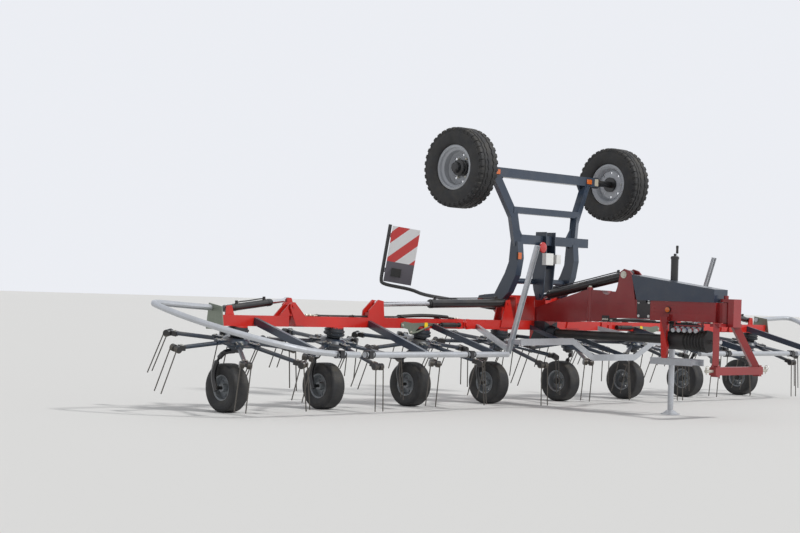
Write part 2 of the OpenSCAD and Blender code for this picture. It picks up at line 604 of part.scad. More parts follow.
module chassis_frame() color(slate) {
  difference() {
    union() {
      translate([-beam_half, axle_y - chassis_s / 2, axle_z - chassis_s / 2]) cube([2 * beam_half, chassis_s, chassis_s]);
      for (s = [-1, 1]) chassis_leg(s);
      translate([-490, knee_y - 55, 1853]) cube([980, 70, 64]);
      translate([-626, knee_y - 40, 1560]) cube([1030, 80, 90]);
      // Tapered lever of two plates and a web, down to the cylinder's pin
      for (s = [-1, 1])
        plate_x(s > 0 ? slot_half : -slot_half - plate_t, plate_t, [[knee_y - 60, 1690], [knee_y + 75, 1690],
          [knee_y + 80, 1400], [lever_y + 54, lever_z + 10], [lever_y + 32, lever_z - 40],
          [lever_y - 32, lever_z - 40], [lever_y - 70, lever_z + 60], [knee_y - 90, 1220], [knee_y - 75, 1400]]);
      translate([-slot_half - 2, knee_y - 70, 1330]) cube([2 * slot_half + 4, 12, 300]);
    }
    translate([-800, pivot_y, pivot_z]) rotate([0, 90, 0]) cylinder(h = 1600, r = pin_r + run_gap);
  }
  for (s = [-1, 1]) {
    rod([s * (beam_half - 30), axle_y, axle_z], [s * (track / 2 + 5), axle_y, axle_z], 32);
    rod([s * (beam_half - 10), axle_y, axle_z], [s * (beam_half + 14), axle_y, axle_z], 58);
    rod([s * slot_half, lever_y, lever_z], [s * (slot_half + plate_t + 14), lever_y, lever_z], 20);
  }
}

module document_boxes() color("white") {
  translate([18, knee_y + 80 + run_gap, 1365]) cube([110, 50, 115]);
  translate([-96, knee_y + 80 + run_gap, 1380]) cube([66, 50, 90]);
}

rim_r = tyre_d / 2 * 0.56;
module transport_tyre() {
  r = tyre_d / 2;
  w = tyre_w / 2;
  color(black) translate([track / 2, axle_y, axle_z]) rotate([0, 90, 0]) rotate_extrude()
    polygon(eased_2d([[rim_r, 30 - w], [rim_r + 10, 4 - w], [rim_r + 60, -w - 2], [r - 12, 4 - w], [r, 36 - w],
      [r, w - 36], [r - 12, w - 4], [rim_r + 60, w + 2], [rim_r + 10, w - 4], [rim_r, w - 30]], 2));
}

// Deep rim: hub, dished disc with its openings, well and lips
module transport_rim() {
  w = tyre_w / 2;
  color(chrome) translate([track / 2, axle_y, axle_z]) rotate([0, 90, 0]) difference() {
    rotate_extrude() polygon([[32 + run_gap, -70], [76, -70], [76, -46], [140, -40], [rim_r - 52, -24],
      [rim_r - 40, 44 - w], [rim_r - 24, 26 - w], [rim_r - 18, 20 - w], [rim_r - 0.5, 26 - w], [rim_r - 0.5, w - 26],
      [rim_r - 18, w - 20], [rim_r - 24, w - 26], [rim_r - 30, w - 50], [rim_r - 48, w - 66], [rim_r - 50, -6],
      [140, -26], [76, -30], [76, 4], [60, 12], [32 + run_gap, 12]]);
    for (k = [0 : 7]) rotate([0, 0, 45 * k]) translate([126, 0, -80]) cylinder(h = 90, r = 13);
  }
}

// Cylinders: each barrel is hinged at its base, and its rod slides out of it
module cylinder_barrel(base, eye, length, r, rod_r, pin, across) {
  d = unit(eye - base);
  v = across == 0 ? [1, 0, 0] : [0, 1, 0];
  w = r * 0.7;
  color(black) difference() {
    union() {
      rod(base + at(d, r * 0.6), base + at(d, length), r);
      rod(base - at(v, w), base + at(v, w), r);
    }
    rod(base + at(d, 70), base + at(d, length + 5), rod_r + run_gap);
    rod(base - at(v, 2 * r), base + at(v, 2 * r), pin + run_gap);
  }
}

module cylinder_rod(base, eye, depth, r, pin, across) {
  d = unit(eye - base);
  v = across == 0 ? [1, 0, 0] : [0, 1, 0];
  w = r * 0.9;
  color(chrome) difference() {
    union() {
      rod(eye - at(d, depth), eye - at(d, pin + 4), r);
      rod(eye - at(v, w), eye + at(v, w), pin + 14);
    }
    rod(eye - at(v, 2 * w), eye + at(v, 2 * w), pin + run_gap);
  }
}

chassis_base = [0, mast_y, mast_pin_z];
chassis_eye = [0, lever_y, lever_z];
wing_base = [base_x, beam_y, base_z];
wing_eye = [eye_x, beam_y, eye_z];
tip_base = [tip_base_x, tip_layer, tip_base_z];
tip_eye = [tip_eye_x, tip_layer, tip_eye_z];

module chassis_barrel() cylinder_barrel(chassis_base, chassis_eye, 985, 44, 28, 20, 0);
module chassis_rod() cylinder_rod(chassis_base, chassis_eye, 980, 28, 20, 0);
module wing_barrel() cylinder_barrel(wing_base, wing_eye, 1030, 40, 22, 15, 1);
module wing_rod() cylinder_rod(wing_base, wing_eye, 1020, 22, 15, 1);
module tip_barrel() cylinder_barrel(tip_base, tip_eye, 480, 30, 18, 12, 1);
module tip_rod() cylinder_rod(tip_base, tip_eye, 440, 18, 12, 1);

// Warning board on its bent tube, on the right-hand side only
tube_edge = board_w / 2 + arm_out;
module board_arm() color(black) swept(eased([[side_out + run_gap, pivot_y + 235, pivot_z - 75],
  [580, pivot_y + 235, pivot_z - 75], [640, -470, 990], board_at(-board_w / 2 - 130, -70),
  board_at(-board_w / 2 - 20, -34), board_at(tube_edge - 20, -34), board_at(tube_edge, 10), board_at(tube_edge, 130),
  board_at(tube_edge, board_h + 8)], 4), arm_r, 12);

module warning_board() translate([board_x, board_y, board_z]) rotate([0, board_lean, board_turn]) {
  color("white") translate([-board_w / 2, -2, 0]) cube([board_w, 4, board_h]);
  for (z = [90, board_h - 120])
    color(black) translate([board_w / 2 - 24, -14, z]) cube([24 + arm_out - arm_r - run_gap, 12, 46]);
  color(black) translate([-20, 2, 60]) cube([100, 42, 84]);
}

put() centre_frame();
put() drawbar();
put() drawbar_cover();
put() pto_guard();
put() front_guard();
put() jack_tube();
put() board_arm();
put() warning_board();
put() headstock();
put() jack_leg();
put() chassis_frame();
put() document_boxes();
put() transport_tyre();  // transport_tyre_r
put() left() transport_tyre();  // transport_tyre_l
put() transport_rim();  // transport_rim_r
put() left() transport_rim();  // transport_rim_l
put() wing();  // wing_r
put() left() wing();  // wing_l
put() wing_guard();  // wing_guard_r
put() left() wing_guard();  // wing_guard_l
put() tip();  // tip_r
put() left() tip();  // tip_l
put() tip_guard();  // tip_guard_r
put() left() tip_guard();  // tip_guard_l
for (i = [1 : 8]) put() rotor(i);
for (i = [1 : 8]) put() wheel(i);
put() chassis_barrel();
put() chassis_rod();
put() wing_barrel();  // wing_barrel_r
put() left() wing_barrel();  // wing_barrel_l
put() wing_rod();  // wing_rod_r
put() left() wing_rod();  // wing_rod_l
put() tip_barrel();  // tip_barrel_r
put() left() tip_barrel();  // tip_barrel_l
put() tip_rod();  // tip_rod_r
put() left() tip_rod();  // tip_rod_l
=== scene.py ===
import bpy
import json
import math
import numpy as np
from mathutils import Matrix, Vector
from mathutils.geometry import tessellate_polygon


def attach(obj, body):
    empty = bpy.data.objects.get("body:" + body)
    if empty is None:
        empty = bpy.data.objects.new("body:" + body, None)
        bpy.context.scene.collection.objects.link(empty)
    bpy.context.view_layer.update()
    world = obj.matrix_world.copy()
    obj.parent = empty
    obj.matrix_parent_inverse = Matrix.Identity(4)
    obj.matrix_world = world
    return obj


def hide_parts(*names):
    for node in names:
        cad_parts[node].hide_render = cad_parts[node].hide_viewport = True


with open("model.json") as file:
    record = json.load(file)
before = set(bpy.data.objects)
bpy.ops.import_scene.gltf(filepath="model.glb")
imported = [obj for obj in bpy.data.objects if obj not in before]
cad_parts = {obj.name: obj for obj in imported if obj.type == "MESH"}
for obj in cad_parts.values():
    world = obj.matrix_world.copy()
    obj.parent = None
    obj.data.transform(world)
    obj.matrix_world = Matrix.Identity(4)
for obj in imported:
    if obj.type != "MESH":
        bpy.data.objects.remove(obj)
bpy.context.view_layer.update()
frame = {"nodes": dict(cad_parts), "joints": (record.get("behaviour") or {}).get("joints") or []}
nodes = frame["nodes"]
joints = {j["name"]: j for j in frame["joints"]}
rotorY = joints["rotor_1_spin"]["pos_m"][1]  # every place below is counted from the rotor line
collection = bpy.context.scene.collection
print("Hay tedder: frame loaded,", len(nodes), "nodes")

# Camera, placed from the rotor line
shot = {"place": (12.405, 10.636, 1.033), "yaw": 135.36, "pitch": 0.961, "roll": 1.911,
        "focalPixels": 1642.0, "framePixels": 800.0, "sensor": 36.0}


def makeCamera(c):
    yaw, pitch, roll = (math.radians(c[k]) for k in ("yaw", "pitch", "roll"))
    ahead = Vector((-math.sin(yaw) * math.cos(pitch), math.cos(yaw) * math.cos(pitch), math.sin(pitch)))
    side = Vector((math.cos(yaw), math.sin(yaw), 0.0))
    up = side.cross(ahead)
    right = side * math.cos(roll) + up * math.sin(roll)
    top = up * math.cos(roll) - side * math.sin(roll)
    data = bpy.data.cameras.new("camera")
    data.sensor_width = c["sensor"]
    data.lens = c["focalPixels"] / c["framePixels"] * c["sensor"]
    data.clip_end = 200.0
    camera = bpy.data.objects.new("camera", data)
    turn = Matrix((right, top, -ahead)).transposed().to_4x4()
    camera.matrix_world = Matrix.Translation(Vector(c["place"]) + Vector((0.0, rotorY, 0.0))) @ turn
    collection.objects.link(camera)
    bpy.context.scene.camera = camera


makeCamera(shot)


# Short hand for one node tree: add a node, set its sockets and link others to them
class Tree:
    def __init__(self, tree):
        self.tree = tree

    def add(self, kind, sockets=None, **settings):
        node = self.tree.nodes.new(kind)
        for key, value in settings.items():
            setattr(node, key, value)
        for key, value in (sockets or {}).items():
            if isinstance(value, bpy.types.NodeSocket):
                self.tree.links.new(value, node.inputs[key])
            else:
                node.inputs[key].default_value = value
        return node

    def mix(self, factor, a, b):
        node = self.add("ShaderNodeMix", data_type="RGBA")
        for place, value in ((0, factor), (6, a), (7, b)):
            if isinstance(value, bpy.types.NodeSocket):
                self.tree.links.new(value, node.inputs[place])
            else:
                node.inputs[place].default_value = value if place == 0 else (*value, 1.0)
        return node.outputs[2]

    def math(self, kind, a, b=0.0):
        return self.add("ShaderNodeMath", {0: a, 1: b}, operation=kind).outputs[0]

    def spread(self, value, low, high, toLow=0.0, toHigh=1.0):
        return self.add("ShaderNodeMapRange", {0: value, 1: low, 2: high, 3: toLow, 4: toHigh}).outputs[0]

    def noise(self, scale, detail=3.0, roughness=0.5, vector=None):
        place = vector or self.add("ShaderNodeTexCoord").outputs["Object"]
        return self.add("ShaderNodeTexNoise", {"Vector": place, "Scale": scale, "Detail": detail,
                                               "Roughness": roughness}).outputs["Fac"]


def newGroup(name, inputs, outputs):
    tree = bpy.data.node_groups.new(name, "ShaderNodeTree")
    kinds = {"c": "NodeSocketColor", "f": "NodeSocketFloat"}
    for label, kind, value in inputs:
        socket = tree.interface.new_socket(label, in_out="INPUT", socket_type=kinds[kind])
        socket.default_value = (*value, 1.0) if kind == "c" else value
    for label, kind in outputs:
        tree.interface.new_socket(label, in_out="OUTPUT", socket_type=kinds[kind])
    t = Tree(tree)
    return t, t.add("NodeGroupInput"), t.add("NodeGroupOutput")


# Field dust: a pale layer that lies thicker on faces that look up, broken by noise
def dustGroup():
    t, given, result = newGroup("fieldDust", [("Colour", "c", (0.5, 0.5, 0.5)), ("Roughness", "f", 0.4),
                                              ("Amount", "f", 0.5), ("Scale", "f", 7.0)],
                                [("Colour", "c"), ("Roughness", "f")])
    coarse, fine = t.noise(given.outputs["Scale"], 6.0), t.noise(90.0, 4.0)
    facing = t.add("ShaderNodeSeparateXYZ", {0: t.add("ShaderNodeNewGeometry").outputs["Normal"]})
    up = t.spread(facing.outputs["Z"], -0.2, 1.0, 0.15, 1.0)
    broken = t.math("MULTIPLY", t.spread(coarse, 0.38, 0.72), t.spread(fine, 0.3, 0.7, 0.4, 1.0))
    mask = t.math("MULTIPLY", t.math("MULTIPLY", broken, up), given.outputs["Amount"])
    colour = t.mix(mask, given.outputs["Colour"], (0.30, 0.26, 0.18))
    rough = t.math("ADD", given.outputs["Roughness"], t.math("MULTIPLY", mask, 0.45))
    t.tree.links.new(colour, result.inputs["Colour"])
    t.tree.links.new(rough, result.inputs["Roughness"])
    return t.tree


# Paint that drifts in tone, with chips down to the primer and scratched edges
def wearGroup():
    t, given, result = newGroup("paintWear", [("Paint", "c", (0.5, 0.1, 0.1)), ("Under", "c", (0.16, 0.15, 0.14)),
                                              ("Amount", "f", 0.5)], [("Colour", "c"), ("Mask", "f")])
    chips, patch = t.noise(38.0, 8.0, 0.7), t.noise(3.1, 2.0)
    both = t.math("MULTIPLY", chips, t.math("ADD", patch, 0.5))
    edge = t.math("SUBTRACT", 0.82, t.math("MULTIPLY", given.outputs["Amount"], 0.12))
    mask = t.spread(both, edge, t.math("ADD", edge, 0.03))
    tint = t.add("ShaderNodeHueSaturation", {"Color": given.outputs["Paint"],
                                             "Value": t.spread(t.noise(1.7), 0.3, 0.7, 0.84, 1.14)}).outputs[0]
    t.tree.links.new(t.mix(mask, tint, given.outputs["Under"]), result.inputs["Colour"])
    t.tree.links.new(mask, result.inputs["Mask"])
    return t.tree


groups = {"dust": dustGroup(), "wear": wearGroup()}


def newMaterial(name):
    material = bpy.data.materials.new(name)
    material.use_nodes = True
    t = Tree(material.node_tree)
    return material, t, t.tree.nodes["Principled BSDF"]


def groupNode(t, key, sockets):
    node = t.add("ShaderNodeGroup", node_tree=groups[key])
    for label, value in sockets.items():
        if isinstance(value, bpy.types.NodeSocket):
            t.tree.links.new(value, node.inputs[label])
        else:
            node.inputs[label].default_value = (*value, 1.0) if isinstance(value, tuple) else value
    return node


# Ends a material: dust over the colour, and a bump from the given height
def settle(t, shader, colour, rough, dust, height, strength, distance, scale=7.0):
    dusty = groupNode(t, "dust", {"Colour": colour, "Roughness": rough, "Amount": dust, "Scale": scale})
    t.tree.links.new(dusty.outputs["Colour"], shader.inputs["Base Color"])
    t.tree.links.new(dusty.outputs["Roughness"], shader.inputs["Roughness"])
    bump = t.add("ShaderNodeBump", {"Height": height, "Strength": strength, "Distance": distance})
    t.tree.links.new(bump.outputs[0], shader.inputs["Normal"])


def painted(name, colour, rough=0.30, wear=0.4, dust=0.5, coat=0.35):
    material, t, shader = newMaterial(name)
    worn = groupNode(t, "wear", {"Paint": colour, "Amount": wear})
    shader.inputs["Coat Weight"].default_value = coat
    shader.inputs["Coat Roughness"].default_value = 0.16
    settle(t, shader, worn.outputs["Colour"], rough, dust, t.noise(420.0, 2.0), 0.08, 0.0006)
    return material


# Hot-dip zinc: spangles from a cell pattern, a dull bloom and a little dust
def zincCoated(name, bright, rough=0.34, dust=0.3):
    material, t, shader = newMaterial(name)
    place = t.add("ShaderNodeTexCoord").outputs["Object"]
    cells = t.add("ShaderNodeTexVoronoi", {"Vector": place, "Scale": 70.0})
    bloom = t.noise(6.0, 5.0)
    spangle = t.mix(cells.outputs["Color"], tuple(0.88 * c for c in bright), bright)
    dull = t.mix(t.spread(bloom, 0.45, 0.75, 0.0, 0.5), spangle, tuple(0.74 * c for c in bright))
    shader.inputs["Metallic"].default_value = 0.65
    settle(t, shader, dull, rough, dust, bloom, 0.12, 0.002)
    return material


# Tyre rubber: nearly black, dull, grained, with dust in the low places
def rubber(name, colour, dust=0.3, rough=0.62):
    material, t, shader = newMaterial(name)
    shade = t.mix(t.spread(t.noise(11.0, 4.0), 0.3, 0.7), colour, tuple(2.0 * c for c in colour))
    settle(t, shader, shade, rough, dust, t.noise(260.0), 0.22, 0.001, scale=14.0)
    return material


def bareMetal(name, colour, rough, dust=0.15):
    material, t, shader = newMaterial(name)
    drawn = t.noise(55.0, 4.0)
    shader.inputs["Metallic"].default_value = 1.0
    settle(t, shader, t.mix(drawn, tuple(0.8 * c for c in colour), colour), rough, dust, drawn, 0.06, 0.0008)
    return material


# Moulded or cast surface: a plain colour with a fine grain
def moulded(name, colour, rough=0.5, grain=180.0, dust=0.25):
    material, t, shader = newMaterial(name)
    shade = t.mix(t.noise(5.0), colour, tuple(1.35 * c for c in colour))
    settle(t, shader, shade, rough, dust, t.noise(grain, 4.0), 0.2, 0.0012)
    return material


# Lens of a reflector: small cells over a clear bright colour
def lensLike(name, colour):
    material, t, shader = newMaterial(name)
    place = t.add("ShaderNodeTexCoord").outputs["Object"]
    cells = t.add("ShaderNodeTexVoronoi", {"Vector": place, "Scale": 240.0}).outputs["Distance"]
    shader.inputs["Coat Weight"].default_value = 0.8
    settle(t, shader, t.mix(cells, colour, tuple(0.6 * c for c in colour)), 0.22, 0.1, cells, 0.3, 0.001)
    return material


# Warning board: slanting stripes on the side that looks ahead, and a plain grey foot
board = {"origin": (0.82, -1.13, 1.14), "turn": -45.0, "lean": -8.0, "foot": 0.205, "height": 0.564, "width": 0.282,
         "period": 0.185, "phase": 0.001, "white": (0.74, 0.74, 0.74), "red": (0.56, 0.022, 0.018),
         "grey": (0.085, 0.075, 0.095)}
boardTurn = (Matrix.Rotation(math.radians(board["turn"]), 3, "Z")
             @ Matrix.Rotation(math.radians(board["lean"]), 3, "Y"))
boardAxes = np.array(boardTurn).T  # rows: across, ahead, up
boardOrigin = np.array(board["origin"])


def boardFace(c):
    material, t, shader = newMaterial("boardFace")
    place = t.add("ShaderNodeTexCoord").outputs["Object"]
    start = tuple(boardOrigin + (0.0, rotorY, 0.0))
    local = t.add("ShaderNodeVectorMath", {0: place, 1: start}, operation="SUBTRACT").outputs[0]
    along = [t.add("ShaderNodeVectorMath", {0: local, 1: tuple(boardAxes[k])}, operation="DOT_PRODUCT").outputs["Value"]
             for k in (0, 2)]
    slant = t.math("MULTIPLY", t.math("ADD", along[0], along[1]), 0.70711)
    part = t.math("FRACT", t.math("DIVIDE", t.math("SUBTRACT", slant, c["phase"]), c["period"]))
    stripe = t.spread(part, 0.452, 0.462, 1.0, 0.0)
    painted = t.mix(stripe, c["white"], c["red"])
    lower = t.spread(along[1], c["foot"], c["foot"] + 0.002, 1.0, 0.0)
    shader.inputs["Coat Weight"].default_value = 0.5
    settle(t, shader, t.mix(lower, painted, c["grey"]), 0.34, 0.25, t.noise(300.0), 0.1, 0.0006)
    return material


finishes = {
    "red": painted("redPaint", (0.56, 0.014, 0.008), dust=0.22),
    # A darker copy of the red paint: painted shade for the sides of the drawbar and headstock that face away from the
    # sun
    "redInPaintedShade": painted("redPaintInPaintedShade", (0.26, 0.012, 0.014), dust=0.2),
    "slate": painted("slatePaint", (0.026, 0.042, 0.070), dust=0.3),
    "rotorPaint": painted("rotorPaint", (0.018, 0.030, 0.050), dust=0.45),
    "castSlate": moulded("castSlate", (0.014, 0.019, 0.027), rough=0.42, grain=90.0, dust=0.35),
    "blue": painted("bluePaint", (0.03, 0.09, 0.26), dust=0.2),
    "black": painted("blackPaint", (0.010, 0.010, 0.012), dust=0.2),
    "plastic": moulded("blackPlastic", (0.010, 0.010, 0.011)),
    "silver": painted("silverPaint", (0.46, 0.48, 0.51), rough=0.34, wear=0.2, dust=0.3, coat=0.1),
    "rimGrey": painted("rimGreyPaint", (0.24, 0.26, 0.28), rough=0.4, wear=0.5, dust=0.5, coat=0.1),
    "white": moulded("whitePlastic", (0.62, 0.62, 0.60), rough=0.42),
    "plate": moulded("barePlate", (0.40, 0.37, 0.29), rough=0.4, dust=0.3),
    "zinc": zincCoated("brightZinc", (0.55, 0.57, 0.60)),
    "oldZinc": zincCoated("greenishZinc", (0.24, 0.27, 0.22), rough=0.42),
    "bolt": zincCoated("boltZinc", (0.62, 0.60, 0.52), rough=0.3),
    "chrome": bareMetal("polishedRod", (0.80, 0.80, 0.82), 0.14),
    "steel": bareMetal("tineSteel", (0.13, 0.12, 0.11), 0.42, dust=0.4),
    "tyre": rubber("tyreRubber", (0.0115, 0.0118, 0.013)),
    "hose": rubber("hoseRubber", (0.009, 0.009, 0.010), rough=0.45),
    "amber": lensLike("amberLens", (0.80, 0.16, 0.01)),
    "redLens": lensLike("redLens", (0.62, 0.02, 0.015)),
    "tag": moulded("yellowTag", (0.75, 0.52, 0.02), rough=0.45),
    "board": boardFace(board),
    "boardBack": moulded("boardBack", (0.30, 0.31, 0.32), rough=0.4),
}


# Forms: a form is an array of points and an array of triangles
def gridFaces(rows, cols, closeRows, closeCols):
    # two triangles between each point, the next in its row, and the two beside them
    r = np.arange(rows if closeRows else rows - 1)[:, None]
    c = np.arange(cols if closeCols else cols - 1)[None, :]
    a, b = r * cols + c, r * cols + (c + 1) % cols
    d, e = ((r + 1) % rows) * cols + c, ((r + 1) % rows) * cols + (c + 1) % cols
    return np.concatenate([np.stack([a, b, e], -1).reshape(-1, 3), np.stack([a, e, d], -1).reshape(-1, 3)])


def outward(form):
    # six times the signed volume is the sum of the triple products; a negative one means faces point in
    points, faces = form
    a, b, c = (points[faces[:, k]] for k in range(3))
    volume = np.einsum("ij,ij->i", a, np.cross(b, c)).sum()
    return (points, faces[:, ::-1]) if volume < 0.0 else (points, faces)


def joined(*forms):
    starts = np.cumsum([0] + [len(f[0]) for f in forms[:-1]])
    return (np.concatenate([f[0] for f in forms]), np.concatenate([f[1] + s for f, s in zip(forms, starts)]))


def closedEnds(grid, ring):
    # a grid of rings, with a point in the middle of the first and of the last
    rings = len(grid) // ring
    points = np.concatenate([grid, [grid[:ring].mean(0), grid[-ring:].mean(0)]])
    k = np.arange(ring)
    first = np.stack([k, (k + 1) % ring, np.full(ring, len(grid))], -1)
    last = np.stack([(rings - 1) * ring + (k + 1) % ring, (rings - 1) * ring + k, np.full(ring, len(grid) + 1)], -1)
    return outward((points, np.concatenate([gridFaces(rings, ring, False, True)[:, ::-1], first, last])))


# A turned body along X: each row of the profile is (radius, place on the axis)
def lathe(profile, turns=24):
    profile = np.asarray(profile, float)
    angle = np.arange(turns) * 2.0 * np.pi / turns
    grid = np.stack([np.repeat(profile[:, 1], turns), np.outer(profile[:, 0], np.cos(angle)).ravel(),
                     np.outer(profile[:, 0], np.sin(angle)).ravel()], -1)
    return closedEnds(grid, turns)


# A turned ring along X, from a closed profile
def ring(profile, turns=48):
    profile = np.asarray(profile, float)
    angle = np.arange(turns) * 2.0 * np.pi / turns
    grid = np.stack([np.tile(profile[:, 1], turns), np.outer(np.cos(angle), profile[:, 0]).ravel(),
                     np.outer(np.sin(angle), profile[:, 0]).ravel()], -1)
    return outward((grid, gridFaces(turns, len(profile), True, True)))


# Rounds a path: every corner becomes a quadratic curve between the middles of its two sides
def rounded(path, steps=6):
    p = np.asarray(path, float)
    t = np.linspace(0.0, 1.0, steps, endpoint=False)[None, :, None]
    a, b, c = (p[:-2] + p[1:-1])[:, None] / 2, p[1:-1][:, None], (p[1:-1] + p[2:])[:, None] / 2
    curve = ((1 - t) ** 2 * a + 2 * t * (1 - t) * b + t ** 2 * c).reshape(-1, p.shape[1])
    return np.concatenate([p[:1], curve, (p[-2:-1] + p[-1:]) / 2, p[-1:]])


# Carries a section along a path; its first direction stays square to the path and to the given side
def carried(path, section, side=(0.0, 0.0, 1.0)):
    path, section = np.asarray(path, float), np.asarray(section, float)
    ahead = np.gradient(path, axis=0)
    ahead /= np.linalg.norm(ahead, axis=1, keepdims=True)
    across = np.cross(ahead, np.asarray(side, float))
    across /= np.linalg.norm(across, axis=1, keepdims=True)
    other = np.cross(across, ahead)
    grid = (path[:, None] + section[None, :, :1] * across[:, None] + section[None, :, 1:] * other[:, None])
    return closedEnds(grid.reshape(-1, 3), len(section))


def circle(radius, sides=12):
    angle = np.arange(sides) * 2.0 * np.pi / sides
    return radius * np.stack([np.cos(angle), np.sin(angle)], -1)


# A box section with cut corners
def boxed(width, height, cut=0.003):
    w, h = width / 2, height / 2
    return np.array([(w - cut, -h), (w, cut - h), (w, h - cut), (w - cut, h), (cut - w, h), (-w, h - cut),
                     (-w, cut - h), (cut - w, -h)])


# A flat plate: its outline lies in two axes, and it is thick along the third, with a small cut edge
def plated(outline, start, thick, axis, cut=0.0012):
    outline = np.asarray(outline, float)
    n = len(outline)
    middle = outline.mean(0)
    inner = middle + (outline - middle) * (1.0 - cut / np.linalg.norm(outline - middle, axis=1, keepdims=True))
    layers = [(inner, start), (outline, start + cut), (outline, start + thick - cut), (inner, start + thick)]
    flat = [np.insert(o, axis, s, axis=1) for o, s in layers]
    caps = np.array(tessellate_polygon([[Vector((*v, 0.0)) for v in inner]]), int)
    faces = np.concatenate([gridFaces(4, n, False, True), caps, caps[:, ::-1] + 3 * n])
    lowNormal = np.cross(inner[caps[:, 1]] - inner[caps[:, 0]], inner[caps[:, 2]] - inner[caps[:, 0]]).sum()
    area = np.cross(outline, np.roll(outline, -1, axis=0)).sum()
    if lowNormal * area > 0:
        faces[len(faces) - 2 * len(caps):] = faces[len(faces) - 2 * len(caps):, ::-1]
    return outward((np.concatenate(flat), faces))


# Turns a form that was made along X so that it lies along the given direction, and moves it there
def aimed(form, place, direction=(1.0, 0.0, 0.0)):
    x = np.asarray(direction, float) / np.linalg.norm(direction)
    y = np.cross((0.0, 0.0, 1.0) if abs(x[2]) < 0.9 else (0.0, 1.0, 0.0), x)
    y /= np.linalg.norm(y)
    return form[0] @ np.stack([x, y, np.cross(x, y)]) + np.asarray(place, float), form[1]


# The same form at many places, each with its own direction
def repeated(form, places):
    return joined(*[aimed(form, place, direction) for place, direction in places])


def flipped(form):
    return form[0] * (-1.0, 1.0, 1.0), form[1][:, ::-1]


def spun(form, centre, axis, degrees):
    turn = np.array(Matrix.Rotation(math.radians(degrees), 3, Vector(axis)))
    return (form[0] - centre) @ turn.T + centre, form[1]


def makePiece(name, body, finish, *forms, replaces=(), sharp=32.0):
    points, faces = joined(*forms)
    mesh = bpy.data.meshes.new(name)
    mesh.from_pydata((points + (0.0, rotorY, 0.0)).tolist(), [], faces.tolist())
    mesh.polygons.foreach_set("use_smooth", np.ones(len(faces), bool))
    mesh.set_sharp_from_angle(angle=math.radians(sharp))
    mesh.materials.append(finishes[finish])
    mesh.update()
    piece = bpy.data.objects.new(name, mesh)
    collection.objects.link(piece)
    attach(piece, body)
    for node in replaces:
        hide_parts(node)
    return piece


# A hexagon bolt head on its washer, along X
def boltHead(size):
    washer = lathe([(size * 0.98, 0.0), (size, size * 0.05), (size, size * 0.18), (size * 0.9, size * 0.22)], 14)
    head = lathe([(size * 0.78, size * 0.2), (size * 0.78, size * 0.62), (size * 0.64, size * 0.74)], 6)
    return joined(washer, head)


def bolts(size, places):
    return repeated(boltHead(size), places)


# Finishes a CAD node; each rule is a finish, or a finish with a test on face middles and normals
def give(node, *rules):
    mesh = nodes[node].data
    mesh.materials.clear()
    count = len(mesh.polygons)
    middles, normals = np.zeros(count * 3), np.zeros(count * 3)
    mesh.polygons.foreach_get("center", middles)
    mesh.polygons.foreach_get("normal", normals)
    middles = middles.reshape(-1, 3) - (0.0, rotorY, 0.0)
    normals = normals.reshape(-1, 3)
    index = np.zeros(count, dtype=np.int32)
    for k, rule in enumerate(rules):
        finish, test = rule if isinstance(rule, tuple) else (rule, None)
        mesh.materials.append(finishes[finish])
        if test is not None:
            index[test(middles, normals)] = k
    mesh.polygons.foreach_set("material_index", index)


rotorAxis = np.array(joints["rotor_1_spin"]["axis"])
armReach = 0.590


def rotorX(i):
    return joints["rotor_%d_spin" % i]["pos_m"][0]


# Distance from a rotor's axis, and height along it
def fromRotor(m, i):
    d = m - (rotorX(i), 0.0, joints["rotor_1_spin"]["pos_m"][2])
    along = d @ rotorAxis
    return np.linalg.norm(d - along[:, None] * rotorAxis, axis=1), along


def fromWheel(m, i):
    wheelAt = np.array(joints["wheel_%d_spin" % i]["pos_m"]) - (0.0, rotorY, 0.0)
    return np.hypot(m[:, 1] - wheelAt[1], m[:, 2] - wheelAt[2])


# On the three beam nodes the gearboxes are cast slate, and the bent wheel legs under them are black
def isGearbox(which):
    def test(m, n):
        near = [fromRotor(m, i) for i in which]
        return np.any([(r < 0.096) & (z < 0.130) & (z > -0.10) for r, z in near], axis=0)
    return test


def isLeg(m, n):
    return m[:, 2] < 0.522


# The clamps of the guard tubes stand out from the tube
def isClamp(places):
    def test(m, n):
        out = np.hypot(m[:, 1] - 0.95, m[:, 2] - 0.53)
        near = np.any([np.abs(np.abs(m[:, 0]) - x) < 0.06 for x in places], axis=0)
        return near & (out > 0.0256) & (out < 0.07)
    return test


